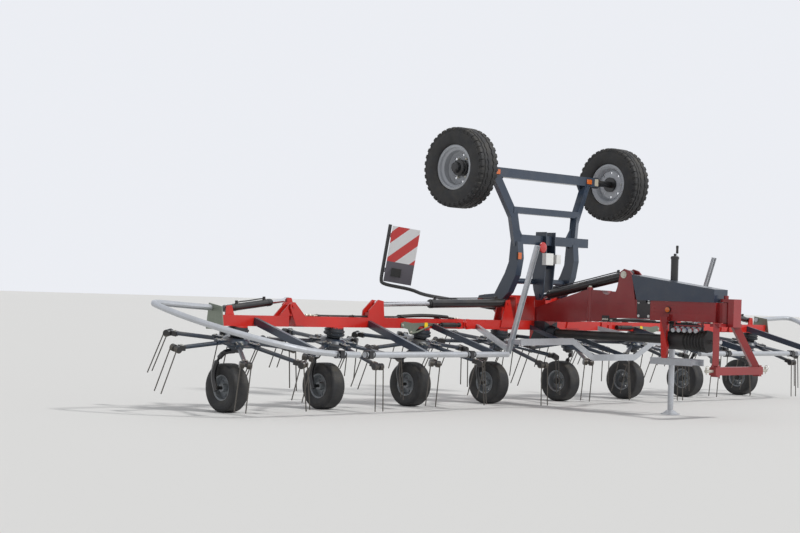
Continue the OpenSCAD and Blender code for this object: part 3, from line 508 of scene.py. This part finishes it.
def dressNodes():
    # Drawbar and headstock get the red paint darkened as painted shade; on the drawbar the sunlit hinge and yoke keep
    # the plain red
    give("drawbar", "redInPaintedShade", ("red", lambda m, n: (m[:, 0] > 0.095) & (m[:, 2] < 0.80)),
         ("zinc", lambda m, n: m[:, 2] < 0.535), ("bolt", lambda m, n: (m[:, 2] > 1.24) & (np.abs(m[:, 0]) > 0.0795)))
    give("headstock", "redInPaintedShade", ("bolt", lambda m, n: (np.abs(m[:, 0]) > 0.372) & (m[:, 2] < 0.47) & (m[:, 2] > 0.43)))
    give("drawbar_cover", "slate", ("black", lambda m, n: m[:, 2] < 1.049))
    give("pto_guard", "plastic", ("chrome", lambda m, n: m[:, 1] > 2.081))
    give("front_guard", "zinc", ("slate", lambda m, n: (np.abs(m[:, 0]) < 0.30) & (m[:, 1] < 0.83)))
    give("jack_tube", "black")
    give("jack_leg", "zinc")
    give("board_arm", "black")
    give("warning_board", "boardBack", ("board", lambda m, n: (n @ boardAxes[1] > 0.9) & (((m - boardOrigin) @ boardAxes[1]) < 0.004)),
         ("plastic", lambda m, n: np.abs((m - boardOrigin) @ boardAxes[1]) > 0.004))
    give("chassis_frame", "slate", ("black", lambda m, n: (np.abs(m[:, 0]) > 0.845) & (m[:, 2] > 2.1)))
    give("document_boxes", "white")
    owners = {"centre_frame": (4, 5), "wing_r": (2, 3), "wing_l": (6, 7), "tip_r": (1,), "tip_l": (8,)}
    for node, which in owners.items():
        give(node, "red", ("castSlate", isGearbox(which)), ("black", isLeg),
             ("castSlate", lambda m, n: (np.abs(m[:, 0]) < 0.097) & (m[:, 1] > 0.076) & (m[:, 2] < 0.80)))
    for s in "rl":
        give("wing_guard_" + s, "zinc", ("slate", lambda m, n: m[:, 1] < 0.918), ("black", isClamp((1.95, 3.16))))
        give("tip_guard_" + s, "zinc",
             ("slate", lambda m, n: (np.abs(m[:, 0]) < 4.2) & (m[:, 1] < 0.921) & (m[:, 1] > 0.07) & (np.abs(m[:, 0]) > 3.6)
              & (m[:, 0] ** 2 < (3.72 + 0.22 * m[:, 1]) ** 2)),
             ("oldZinc", lambda m, n: (np.abs(m[:, 0]) > 4.009) & (np.abs(m[:, 0]) < 4.0185) & (m[:, 1] < 0.13)),
             ("black", isClamp((3.48,))))
        give("transport_tyre_" + s, "tyre")
        give("transport_rim_" + s, "silver", ("black", lambda m, n: np.hypot(m[:, 1] - 0.02, m[:, 2] - 2.24) < 0.078))
        for k in ("wing", "tip"):
            give(k + "_barrel_" + s, "black")
            give(k + "_rod_" + s, "chrome")
    give("chassis_barrel", "black")
    give("chassis_rod", "chrome")
    for i in range(1, 9):
        give("rotor_%d" % i, "rotorPaint",
             ("steel", lambda m, n, i=i: (fromRotor(m, i)[0] > 0.582) | (fromRotor(m, i)[1] < -0.09)),
             ("black", lambda m, n, i=i: (fromRotor(m, i)[0] > 0.524) & (fromRotor(m, i)[0] < 0.632)
              & (fromRotor(m, i)[1] > -0.082)))
        give("wheel_%d" % i, "tyre", ("rimGrey", lambda m, n, i=i: fromWheel(m, i) < 0.1085))


dressNodes()
print("Hay tedder: finishes given")

# Transport tyres: a worn implement tread with zigzag grooves and shoulder lugs
tyre = {"radius": 0.380, "width": 0.240, "bead": 0.213, "turns": 432, "treadHalf": 0.101, "grooves": (-0.034, 0.034),
        "outerGrooves": 0.074, "grooveWidth": 0.0085, "grooveDepth": 0.009, "waves": 36, "wave": 0.0065, "lugs": 36}


def makeTransportTyre(c, s):
    side = 1.0 if s == "r" else -1.0
    centre = np.array(joints["transport_wheel_%s_spin" % s]["pos_m"]) - (0.0, rotorY, 0.0)
    w, r = c["width"] / 2, c["radius"]
    shoulder = [(r - 0.010, w - 0.004), (r - 0.002, w - 0.016), (r, c["treadHalf"] - 0.024)]
    wall = [(c["bead"], w - 0.030), (c["bead"] + 0.006, w - 0.012), (c["bead"] + 0.030, w - 0.002),
            (c["bead"] + 0.075, w + 0.0015), (r - 0.052, w - 0.001), (r - 0.048, w - 0.004), (r - 0.030, w - 0.001)]
    half = rounded(wall + shoulder, 5)
    tread = np.stack([np.full(66, r), np.linspace(c["treadHalf"] - 0.026, 0.026 - c["treadHalf"], 66)], -1)
    profile = np.concatenate([half, tread, half[::-1] * (1.0, -1.0)])
    angle = np.arange(c["turns"])[:, None] * 2.0 * np.pi / c["turns"]
    radius, place = profile[None, :, 0], profile[None, :, 1]
    # depth: two zigzag grooves, two straight ones, and notches that run over the shoulders
    zig = c["wave"] * (np.abs((angle * c["waves"] / (2 * np.pi)) % 1.0 - 0.5) * 4.0 - 1.0)
    near = np.minimum.reduce([np.abs(place - g - zig) for g in c["grooves"]]
                             + [np.abs(np.abs(place) - c["outerGrooves"] - 0.5 * zig)])
    depth = c["grooveDepth"] * np.clip((c["grooveWidth"] - near) / 0.004, 0.0, 1.0)
    beat = np.abs((angle * c["lugs"] / (2 * np.pi) + np.sign(place) * 0.25) % 1.0 - 0.5) * 2.0
    notch = np.clip((beat - 0.56) / 0.1, 0.0, 1.0) * np.clip((np.abs(place) - 0.078) / 0.004, 0.0, 1.0)
    notch = notch * np.clip((radius - r + 0.040) / 0.012, 0.0, 1.0)
    depth = np.maximum(depth * (radius > r - 0.006), 0.010 * notch)
    rr = radius - depth
    xx = place - np.sign(place) * 0.006 * notch * (radius < r - 0.004)
    grid = np.stack([xx + 0.0 * angle, rr * np.cos(angle), rr * np.sin(angle)], -1).reshape(-1, 3) + centre
    form = outward((grid, gridFaces(c["turns"], len(profile), True, True)))
    makePiece("transportTread_" + s, "transport_wheel_" + s, "tyre", form, replaces=["transport_tyre_" + s], sharp=38.0)
    # Hub with its cap and nuts
    hub = lathe([(0.060, 0.0), (0.072, 0.006), (0.072, 0.030), (0.050, 0.040), (0.046, 0.074), (0.030, 0.084)], 32)
    nuts = repeated(lathe([(0.015, -0.002), (0.015, 0.004), (0.0125, 0.018), (0.008, 0.022)], 6),
                    [((0.0, 0.098 * math.cos(a), 0.098 * math.sin(a)), (1.0, 0.0, 0.0))
                     for a in np.arange(6) * math.pi / 3])
    for name, finish, made, start in (("transportHub_", "black", hub, 0.010), ("transportNuts_", "bolt", nuts, -0.030)):
        made = (made[0] + (start, 0.0, 0.0), made[1])
        made = flipped(made) if s == "l" else made
        makePiece(name + s, "transport_wheel_" + s, finish, (made[0] + centre, made[1]))


for s in "rl":
    makeTransportTyre(tyre, s)
print("Hay tedder: transport tyres made")

rotorAt = joints["rotor_1_spin"]["pos_m"][2]
rotorSide = np.cross(rotorAxis, (1.0, 0.0, 0.0))  # square to the rotor's axis and to the beam
beamFront, beamTop = 0.075, 0.815
both = (("r", 1.0), ("l", -1.0))


def ownerOf(i):
    return {1: "tip_r", 2: "wing_r", 3: "wing_r", 4: "root", 5: "root", 6: "wing_l", 7: "wing_l", 8: "tip_l"}[i]


# Mirrors forms for the left half of the machine
def handed(s, forms):
    return [flipped(f) for f in forms] if s == "l" else list(forms)


# Places on a rotor, given as (reach, side, height) on every arm
def onArms(i, spots, arms=6):
    places = []
    for k in range(arms):
        a = math.radians(360.0 / arms * k + (30.0 if i % 2 == 0 else 0.0))
        for reach, side, height in spots:
            x, y = reach * math.cos(a) - side * math.sin(a), reach * math.sin(a) + side * math.cos(a)
            places.append((np.array((rotorX(i) + x, 0.0, rotorAt)) + y * rotorSide + height * rotorAxis, rotorAxis))
    return places


# A flexible pipe with a crimped sleeve and a hexagon nut at each end
def pipe(path, radius, steps=7, fittings=True):
    line = rounded(path, steps)
    tube = carried(line, circle(radius, 10), (0.31, 0.17, 0.93))
    crimp = lathe([(radius * 1.2, -0.002), (radius * 1.35, 0.002), (radius * 1.35, 0.030), (radius * 1.15, 0.034)], 12)
    nut = lathe([(radius * 1.55, -0.016), (radius * 1.65, -0.014), (radius * 1.65, -0.003), (radius * 1.5, -0.001)], 6)
    ends = [(line[0], line[1] - line[0]), (line[-1], line[-2] - line[-1])]
    return (tube, joined(repeated(crimp, ends), repeated(nut, ends))) if fittings else (tube, None)


# Rotor bolts: four on every shoe, two on every carrier, and the bolts of the gearbox flange
rotorBolts = {"shoe": [(0.135, -0.021, 0.0108), (0.135, 0.021, 0.0108), (0.190, -0.021, 0.0108), (0.190, 0.021, 0.0108)],
              "shoeSize": 0.0085, "carrierHeight": -0.0382, "carrierSize": 0.0075, "flange": (0.079, 0.0760, 8, 0.0075)}


def makeRotorBolts(c):
    reach = armReach - 0.037
    flangeReach, flangeHeight, count, size = c["flange"]
    for i in range(1, 9):
        shoe = bolts(c["shoeSize"], onArms(i, c["shoe"]))
        carrier = bolts(c["carrierSize"], onArms(i, [(reach, -0.014, c["carrierHeight"]),
                                                    (reach, 0.014, c["carrierHeight"])]))
        makePiece("rotorBolts_%d" % i, "rotor_%d" % i, "bolt", shoe, carrier)
        makePiece("gearboxBolts_%d" % i, ownerOf(i), "bolt",
                  bolts(size, onArms(i, [(flangeReach, 0.0, flangeHeight)], count)))


# Ground wheels: hub cap, rim bolts and a valve on the side that has no leg
groundWheel = {"cap": [(0.033, 0.0), (0.031, 0.010), (0.022, 0.017), (0.010, 0.019)], "boltReach": 0.045,
               "boltSize": 0.007, "web": 0.012, "capStart": 0.0600}


def makeWheelFittings(c):
    for i in range(1, 9):
        at = np.array(joints["wheel_%d_spin" % i]["pos_m"]) - (0.0, rotorY, 0.0)
        inner = -1.0 if i <= 4 else 1.0
        cap = lathe([(r, p + c["capStart"]) for r, p in c["cap"]], 20)
        places = [((c["web"], c["boltReach"] * math.cos(a), c["boltReach"] * math.sin(a)), (1.0, 0.0, 0.0))
                  for a in np.arange(5) * 2.0 * math.pi / 5 + 0.3]
        valve = aimed(lathe([(0.004, 0.0), (0.004, 0.020), (0.003, 0.021), (0.003, 0.028)], 8), (0.012, 0.088, 0.0),
                      (1.0, 0.25, 0.0))
        made = [joined(cap), joined(bolts(c["boltSize"], places), valve)]
        for name, finish, form in (("wheelCap_", "plastic", made[0]), ("wheelBolts_", "bolt", made[1])):
            form = flipped(form) if inner < 0 else form
            makePiece(name + str(i), "wheel_%d" % i, finish, (form[0] + at, form[1]))


makeRotorBolts(rotorBolts)
makeWheelFittings(groundWheel)
print("Hay tedder: rotor and wheel fittings made")

# Drawbar trim: bolts of the black cheeks, a round reflector, the rail of quick couplings and their pipes
drawbarTrim = {"cheekBolts": [(1.335, 0.905), (1.335, 1.030), (1.450, 0.905), (1.450, 1.030)], "cheek": 0.0834,
               "reflector": (0.0860, 1.672, 0.972, 0.025), "couplings": (0.0800, 1.775, 0.062, 5, 0.812),
               "bush": (0.065, 0.74, 1.158), "block": (0.020, 0.945, 0.866, 0.120, 0.085, 0.062)}


def makeDrawbarTrim(c):
    places = [((side * c["cheek"], y, z), (side, 0.0, 0.0)) for side in (1.0, -1.0) for y, z in c["cheekBolts"]]
    makePiece("cheekBolts", "root", "white", bolts(0.013, places))
    x, y, z, radius = c["reflector"]
    for side, name in ((1.0, "Right"), (-1.0, "Left")):
        seat = ((side * x, y, z), (side, 0.0, 0.0))
        foot = lathe([(radius + 0.004, 0.0), (radius + 0.004, 0.0115), (radius + 0.001, 0.013)], 28)
        lens = lathe([(radius, 0.0125), (radius, 0.0155), (radius * 0.92, 0.0185), (radius * 0.5, 0.0200)], 28)
        makePiece("drawbarLensFoot" + name, "root", "plastic", repeated(foot, [seat]))
        makePiece("drawbarLens" + name, "root", "amber", repeated(lens, [seat]))
    x, y, z = c["bush"]
    makePiece("hingeBolt", "root", "bolt", bolts(0.021, [((x, y, z), (0.0, 0.0, 1.0))]))
    x, y, step, count, z = c["couplings"]
    seats = [((x, y + k * step, z), (1.0, 0.0, -0.35)) for k in range(count)]
    body = lathe([(0.012, -0.030), (0.012, 0.000), (0.0165, 0.003), (0.0165, 0.018), (0.0135, 0.020), (0.0135, 0.040)], 20)
    collar = lathe([(0.0175, 0.039), (0.0175, 0.054), (0.0150, 0.056)], 20)
    cap = lathe([(0.0160, 0.055), (0.0190, 0.057), (0.0195, 0.070), (0.0180, 0.077), (0.0120, 0.080)], 20)
    makePiece("couplings", "root", "silver", repeated(joined(body, cap), seats))
    makePiece("couplingCollars", "root", "red", repeated(collar, [s for k, s in enumerate(seats) if k != 2]))
    makePiece("couplingCollarBlue", "root", "blue", repeated(collar, seats[2:3]))
    holder = [(y - 0.030, z - 0.020), (y + count * step - 0.030, z - 0.020), (y + count * step - 0.030, z + 0.030),
              (y - 0.030, z + 0.030)]
    makePiece("couplingHolder", "root", "slate", plated(holder, x - 0.014, 0.005, 0))
    # Pipes that leave the couplings and run back under the box to a valve block
    bx, by, bz, wide, long, high = c["block"]
    tubes, ends = [], []
    for k in range(count):
        start = np.array((x - 0.020, y + k * step, z + 0.010))
        lane = bx - 0.042 + 0.021 * k
        tube, fitting = pipe([(lane, by + long / 2 - 0.004, bz - 0.012), (lane, by + 0.120, bz - 0.013),
                              (lane, 1.250, bz - 0.012 - 0.005 * (k % 2)), (lane, 1.560, bz - 0.016),
                              (lane, start[1] - 0.090, bz - 0.018), (lane + 0.4 * (start[0] - lane), start[1] - 0.030, bz - 0.020),
                              (start[0] - 0.012, start[1] - 0.004, start[2] + 0.006), start], 0.0072)
        tubes.append(tube)
        ends.append(fitting)
    makePiece("drawbarPipes", "root", "hose", *tubes)
    makePiece("drawbarPipeEnds", "root", "bolt", *ends)
    block = carried([(bx, by - long / 2, bz), (bx, by + long / 2, bz)], boxed(wide, high, 0.006))
    plugs = lathe([(0.011, -0.002), (0.011, 0.006), (0.008, 0.010)], 6)
    makePiece("valveBlock", "root", "black", block)
    makePiece("valvePlugs", "root", "bolt", repeated(plugs, [((bx + wide / 2, by + d, bz - 0.006), (1.0, 0.0, 0.0))
                                                             for d in (-0.024, 0.0, 0.024)]))


makeDrawbarTrim(drawbarTrim)
print("Hay tedder: drawbar trim made")

# Chassis trim: plain reflectors, the bare plate, and the lens on the leg
chassisTrim = {"squares": [(0.700, 2.240), (-0.700, 2.240)], "square": (0.080, 0.048), "front": 0.0650,
               "plate": (-0.822, 2.240, 0.060, 0.072), "legLens": (0.438, 1.440, 0.050, 0.066, 0.152),
               "redLens": (0.112, 1.535, 0.050, 0.1700), "holder": (0.062, 0.160, 1.488, 1.582)}


# A rectangle in X and Z with cut corners
def corneredBox(x, z, wide, high, cut=0.004):
    w, h = wide / 2, high / 2
    return np.array([(cut - w, -h), (w - cut, -h), (w, cut - h), (w, h - cut), (w - cut, h), (cut - w, h), (-w, h - cut),
                     (-w, cut - h)]) + (x, z)


def makeChassisTrim(c):
    wide, high = c["square"]
    feet = [plated(corneredBox(x, z, wide + 0.008, high + 0.008), c["front"], 0.003, 1) for x, z in c["squares"]]
    lenses = [plated(corneredBox(x, z, wide, high), c["front"] + 0.003, 0.007, 1, cut=0.003) for x, z in c["squares"]]
    x, z, wide, high, front = c["legLens"]
    feet.append(plated(corneredBox(x, z, wide + 0.008, high + 0.008), front - 0.010, 0.014, 1))
    lenses.append(plated(corneredBox(x, z, wide, high), front + 0.004, 0.007, 1, cut=0.003))
    makePiece("chassisLensFeet", "chassis", "plastic", *feet)
    makePiece("chassisLenses", "chassis", "amber", *lenses)
    x, z, wide, high = c["plate"]
    makePiece("chassisPlate", "chassis", "plate", plated(corneredBox(x, z, wide, high, 0.006), c["front"], 0.004, 1))
    x, z, radius, front = c["redLens"]
    start, end, low, top = c["holder"]
    holder = [(start, low), (end, low), (end, top), (start, top)]
    makePiece("chassisLensHolder", "chassis", "black", plated(holder, front - 0.005, 0.005, 1))
    disc = lathe([(radius + 0.004, 0.0), (radius + 0.004, 0.004), (radius, 0.007), (radius * 0.98, 0.010),
                  (radius * 0.9, 0.012)], 32)
    makePiece("chassisRedLens", "chassis", "redLens", aimed(disc, (x, front, z), (0.0, 1.0, 0.0)))


# Grey-green linkage on the front of each wing beam, with its tag and the dark locking sleeve
linkage = {"arm": [(1.945, 0.770), (1.900, 0.785), (1.800, 0.772), (1.620, 0.778), (1.430, 0.772), (1.430, 0.752),
                   (1.600, 0.752), (1.700, 0.745), (1.760, 0.700), (1.800, 0.668), (1.830, 0.672), (1.850, 0.715),
                   (1.945, 0.735)],
           "link": [(1.815, 0.680), (1.740, 0.695), (1.660, 0.722), (1.590, 0.742)], "front": 0.0750,
           "tag": (1.625, 0.740, 0.044, 0.078), "sleeve": (1.440, 1.190, 0.762, 0.021), "bolts": [(1.925, 0.752),
                                                                                              (1.815, 0.690),
                                                                                              (1.470, 0.762)]}


def makeLinkages(c):
    for s, side in both:
        y = c["front"]
        arm = plated(c["arm"], y, 0.010, 1)
        link = carried([(x, y + 0.017, z) for x, z in c["link"]], boxed(0.012, 0.022), (0.0, 1.0, 0.0))
        x, z, wide, high = c["tag"]
        tag = plated(corneredBox(x, z, wide, high, 0.008), y + 0.0102, 0.003, 1)
        start, end, height, radius = c["sleeve"]
        sleeve = aimed(lathe([(radius * 0.5, -0.030), (radius * 0.5, 0.0), (radius, 0.004), (radius, start - end - 0.060),
                              (radius * 0.8, start - end - 0.056), (radius * 0.8, start - end - 0.020),
                              (radius * 1.1, start - end - 0.016), (radius * 1.1, start - end)], 24),
                       (start, y + radius + 0.0025, height), (-1.0, 0.0, 0.0))
        places = [((x, y + 0.010, z), (0.0, 1.0, 0.0)) for x, z in c["bolts"]]
        wing = "wing_" + s
        makePiece("linkArm_" + s, wing, "oldZinc", *handed(s, [arm, link]))
        makePiece("linkTag_" + s, wing, "tag", *handed(s, [tag]))
        makePiece("linkSleeve_" + s, wing, "plastic", *handed(s, [sleeve]))
        makePiece("linkBolts_" + s, wing, "bolt", *handed(s, [bolts(0.012, places)]))


# Pipes along the top of the wing beams, held by clips, and the bundle's dark sleeve near the hinge
wingPipes = {"lines": [(0.010, 0.0075), (0.028, 0.0075), (0.046, 0.0060)], "from": 1.22, "to": 3.02,
             "clips": [1.42, 1.88, 2.50, 2.92], "lift": 0.012, "sleeve": (1.30, 1.92)}


def makeWingPipes(c):
    for s, side in both:
        tubes, fits = [], []
        for k, (y, radius) in enumerate(c["lines"]):
            z = beamTop + radius + 0.0015
            rise = c["lift"] * (1.0 + 0.5 * k)
            path = [(c["from"] - 0.02 * k, y, z), (1.32, y, z), (1.52, y + 0.004, z + rise), (1.76, y - 0.003, z + 0.4 * rise),
                    (1.96, y, z), (2.30, y, z), (2.70, y, z), (c["to"] - 0.03 * k, y, z)]
            tube, fitting = pipe(path, radius)
            tubes.append(tube)
            fits.append(fitting)
        wing = "wing_" + s
        wrap = carried(rounded([(c["sleeve"][0], 0.026, beamTop + 0.018), (1.45, 0.030, beamTop + 0.026),
                                (1.62, 0.030, beamTop + 0.029), (1.78, 0.026, beamTop + 0.022),
                                (c["sleeve"][1], 0.026, beamTop + 0.014)], 8), circle(1.0, 16) * (0.034, 0.016),
                       (0.0, 0.0, 1.0))
        clips = [carried([(x - 0.011, 0.028, beamTop), (x + 0.011, 0.028, beamTop)],
                         np.array([(-0.036, -0.002), (0.036, -0.002), (0.036, 0.004), (0.028, 0.018), (-0.026, 0.018),
                                   (-0.036, 0.004)]), (0.0, 0.0, 1.0)) for x in c["clips"]]
        places = [((x, 0.028, beamTop + 0.018), (0.0, 0.0, 1.0)) for x in c["clips"]]
        makePiece("wingPipes_" + s, wing, "hose", *handed(s, tubes))
        makePiece("wingPipeEnds_" + s, wing, "bolt", *handed(s, fits + [bolts(0.007, places)]))
        makePiece("wingPipeSleeve_" + s, wing, "plastic", *handed(s, [wrap]))
        makePiece("wingPipeClips_" + s, wing, "plastic", *handed(s, clips))


# Cylinders: a screwed gland at the open end, two bands on the barrel, two ports with their nuts, and a pipe between the
# ports
cylinders = {"chassis": ((0.0, 1.146, 1.285), (0.0, 0.100, 1.060), 0.985, 0.044, 0.028, "chassis_barrel", 2),
             "wing": ((0.500, 0.030, 0.980), (2.200, 0.030, 0.935), 1.030, 0.040, 0.022, "wing_barrel", 1),
             "tip": ((3.850, -0.064, 0.865), (3.190, -0.064, 0.950), 0.480, 0.030, 0.018, "tip_barrel", 1)}


def makeCylinderFittings(c):
    for key, (base, eye, length, radius, rod, body, high) in c.items():
        base, eye = np.array(base), np.array(eye)
        along = (eye - base) / np.linalg.norm(eye - base)
        up = np.cross(along, (1.0, 0.0, 0.0) if key == "chassis" else (0.0, -1.0, 0.0))
        up = up / np.linalg.norm(up) * (1.0 if up[2] >= 0.0 or key == "chassis" else -1.0)
        up = up if up[2] > 0.0 else -up
        gland = aimed(ring([(rod + 0.0012, -0.004), (radius * 0.86, -0.004), (radius * 0.90, 0.0), (radius * 0.90, 0.010),
                            (radius * 0.78, 0.014), (rod + 0.0012, 0.014)], 40), base + along * length, along)
        bands = [aimed(ring([(radius - 0.001, 0.0), (radius + 0.0022, 0.001), (radius + 0.0022, wide), (radius - 0.001,
                                                                                                     wide + 0.001)], 40),
                       base + along * place, along) for place, wide in ((length - 0.036, 0.030), (0.080, 0.014))]
        port = lathe([(0.015, -0.004), (0.015, 0.006), (0.012, 0.008), (0.012, 0.013)], 16)
        nut = lathe([(0.0125, 0.012), (0.0135, 0.014), (0.0135, 0.024), (0.0120, 0.026)], 6)
        seats = [(base + along * place + up * radius, up) for place in (0.115, length - 0.065)]
        line = [base + along * 0.125 + up * (radius + 0.010), base + along * 0.160 + up * (radius + 0.012),
                base + along * (length * 0.5) + up * (radius + 0.009), base + along * (length - 0.110) + up * (radius + 0.012),
                base + along * (length - 0.075) + up * (radius + 0.010)]
        tube = carried(rounded(line, 6), circle(0.0055, 10), (0.0, 1.0, 0.0) if key != "chassis" else (1.0, 0.0, 0.0))
        for s in ("",) if key == "chassis" else ("_r", "_l"):
            half = "l" if s == "_l" else "r"
            makePiece(key + "Gland" + s, body + s, "black", *handed(half, [gland] + bands))
            makePiece(key + "Ports" + s, body + s, "black", *handed(half, [repeated(port, seats), repeated(nut, seats)]))
            makePiece(key + "BarrelPipe" + s, body + s, "black", *handed(half, [tube]))


makeChassisTrim(chassisTrim)
makeLinkages(linkage)
makeWingPipes(wingPipes)
makeCylinderFittings(cylinders)
print("Hay tedder: chassis, wing and cylinder fittings made")

# Small fittings: bands on the guard tubes, pins of the hitch, and the crank of the jack
smallParts = {"bands": [("wing_", 1.905), ("wing_", 1.995), ("wing_", 3.115), ("wing_", 3.205), ("tip_", 3.435),
                        ("tip_", 3.525)], "tube": (0.950, 0.530, 0.025), "hitch": (0.463, 2.370, 0.450, 0.014),
              "jack": (-0.148, 1.560, 1.461)}


def makeSmallParts(c):
    y, z, radius = c["tube"]
    band = ring([(radius, -0.006), (radius + 0.0035, -0.005), (radius + 0.0035, 0.005), (radius, 0.006)], 28)
    nut = lathe([(0.008, -0.003), (0.008, 0.007), (0.0045, 0.008), (0.0045, 0.014)], 6)
    for s, side in both:
        for body in ("wing_", "tip_"):
            spots = [x for b, x in c["bands"] if b == body]
            made = repeated(band, [((x, y, z), (1.0, 0.0, 0.0)) for x in spots])
            nuts = repeated(nut, [((x, y - radius - 0.002, z), (0.0, -1.0, 0.0)) for x in spots])
            makePiece(body + "guardBands_" + s, body + s, "black", *handed(s, [made]))
            makePiece(body + "guardNuts_" + s, body + s, "bolt", *handed(s, [nuts]))
    x, y, z, radius = c["hitch"]
    pin = lathe([(0.0030, -0.030), (0.0042, -0.026), (0.0042, 0.020), (0.0085, 0.022), (0.0085, 0.031), (0.0060, 0.034)], 14)
    angle = np.linspace(-0.45 * np.pi, 1.45 * np.pi, 40)
    loop = np.stack([np.zeros(40), 0.020 * np.cos(angle) + 0.010, 0.020 * np.sin(angle) + 0.026], -1)
    clip = carried(loop, circle(0.0022, 8), (1.0, 0.0, 0.0))
    for s, side in both:
        made = aimed(pin, (x, y, z), (0.0, 0.0, 1.0))
        makePiece("lynchPin_" + s, "headstock", "bolt", *handed(s, [made, (clip[0] + (x, y, z), clip[1])]))
    x, y, z = c["jack"]
    cap = lathe([(0.0370, -0.020), (0.0370, 0.004), (0.0300, 0.010), (0.0120, 0.012), (0.0120, 0.030), (0.0090, 0.033)], 28)
    arm = carried(rounded([(x, y, z + 0.022), (x - 0.040, y - 0.020, z + 0.022), (x - 0.110, y - 0.060, z + 0.022),
                           (x - 0.130, y - 0.070, z + 0.024), (x - 0.132, y - 0.071, z + 0.060),
                           (x - 0.132, y - 0.071, z + 0.090)], 5), circle(0.006, 12), (0.3, -0.8, 0.1))
    grip = lathe([(0.009, 0.0), (0.0125, 0.006), (0.0110, 0.035), (0.0130, 0.066), (0.0100, 0.074)], 18)
    makePiece("jackCap", "root", "black", aimed(cap, (x, y, z), (0.0, 0.0, 1.0)))
    makePiece("jackCrank", "root", "zinc", arm)
    makePiece("jackGrip", "root", "plastic", aimed(grip, (x - 0.132, y - 0.071, z + 0.040), (0.0, 0.0, 1.0)))


makeSmallParts(smallParts)
print("Hay tedder: small fittings made")

# Stage: a pale floor and soft light
light = {"worldStrength": 0.52, "sunStrength": 2.0, "sunAngle": 6.0, "sunTurn": (46.0, 0.0, 198.0),
         "floorSize": 140.0, "sky": (0.93, 0.95, 1.0), "floor": (0.74, 0.73, 0.70)}


def makeStage(c):
    mesh = bpy.data.meshes.new("floor")
    h = c["floorSize"]
    mesh.from_pydata([(-h, -h, 0), (h, -h, 0), (h, h, 0), (-h, h, 0)], [], [(0, 1, 2, 3)])
    floor = bpy.data.objects.new("floor", mesh)
    collection.objects.link(floor)
    material, t, shader = newMaterial("paleFloor")
    shader.inputs["Base Color"].default_value = (*c["floor"], 1.0)
    shader.inputs["Roughness"].default_value = 0.9
    mesh.materials.append(material)
    sun = bpy.data.lights.new("sun", "SUN")
    sun.energy = c["sunStrength"]
    sun.angle = math.radians(c["sunAngle"])
    sunObject = bpy.data.objects.new("sun", sun)
    sunObject.rotation_euler = tuple(math.radians(a) for a in c["sunTurn"])
    collection.objects.link(sunObject)
    world = bpy.data.worlds.new("sky")
    world.use_nodes = True
    t = Tree(world.node_tree)
    back = t.tree.nodes["Background"]
    path = t.add("ShaderNodeLightPath")
    seen = t.math("MAXIMUM", path.outputs["Is Camera Ray"], path.outputs["Is Glossy Ray"])
    t.tree.links.new(t.spread(seen, 0.0, 1.0, c["worldStrength"], 0.9), back.inputs["Strength"])
    back.inputs["Color"].default_value = (*c["sky"], 1.0)
    bpy.context.scene.world = world


makeStage(light)
bpy.context.scene.view_settings.view_transform = "Standard"
print("Hay tedder: stage ready")
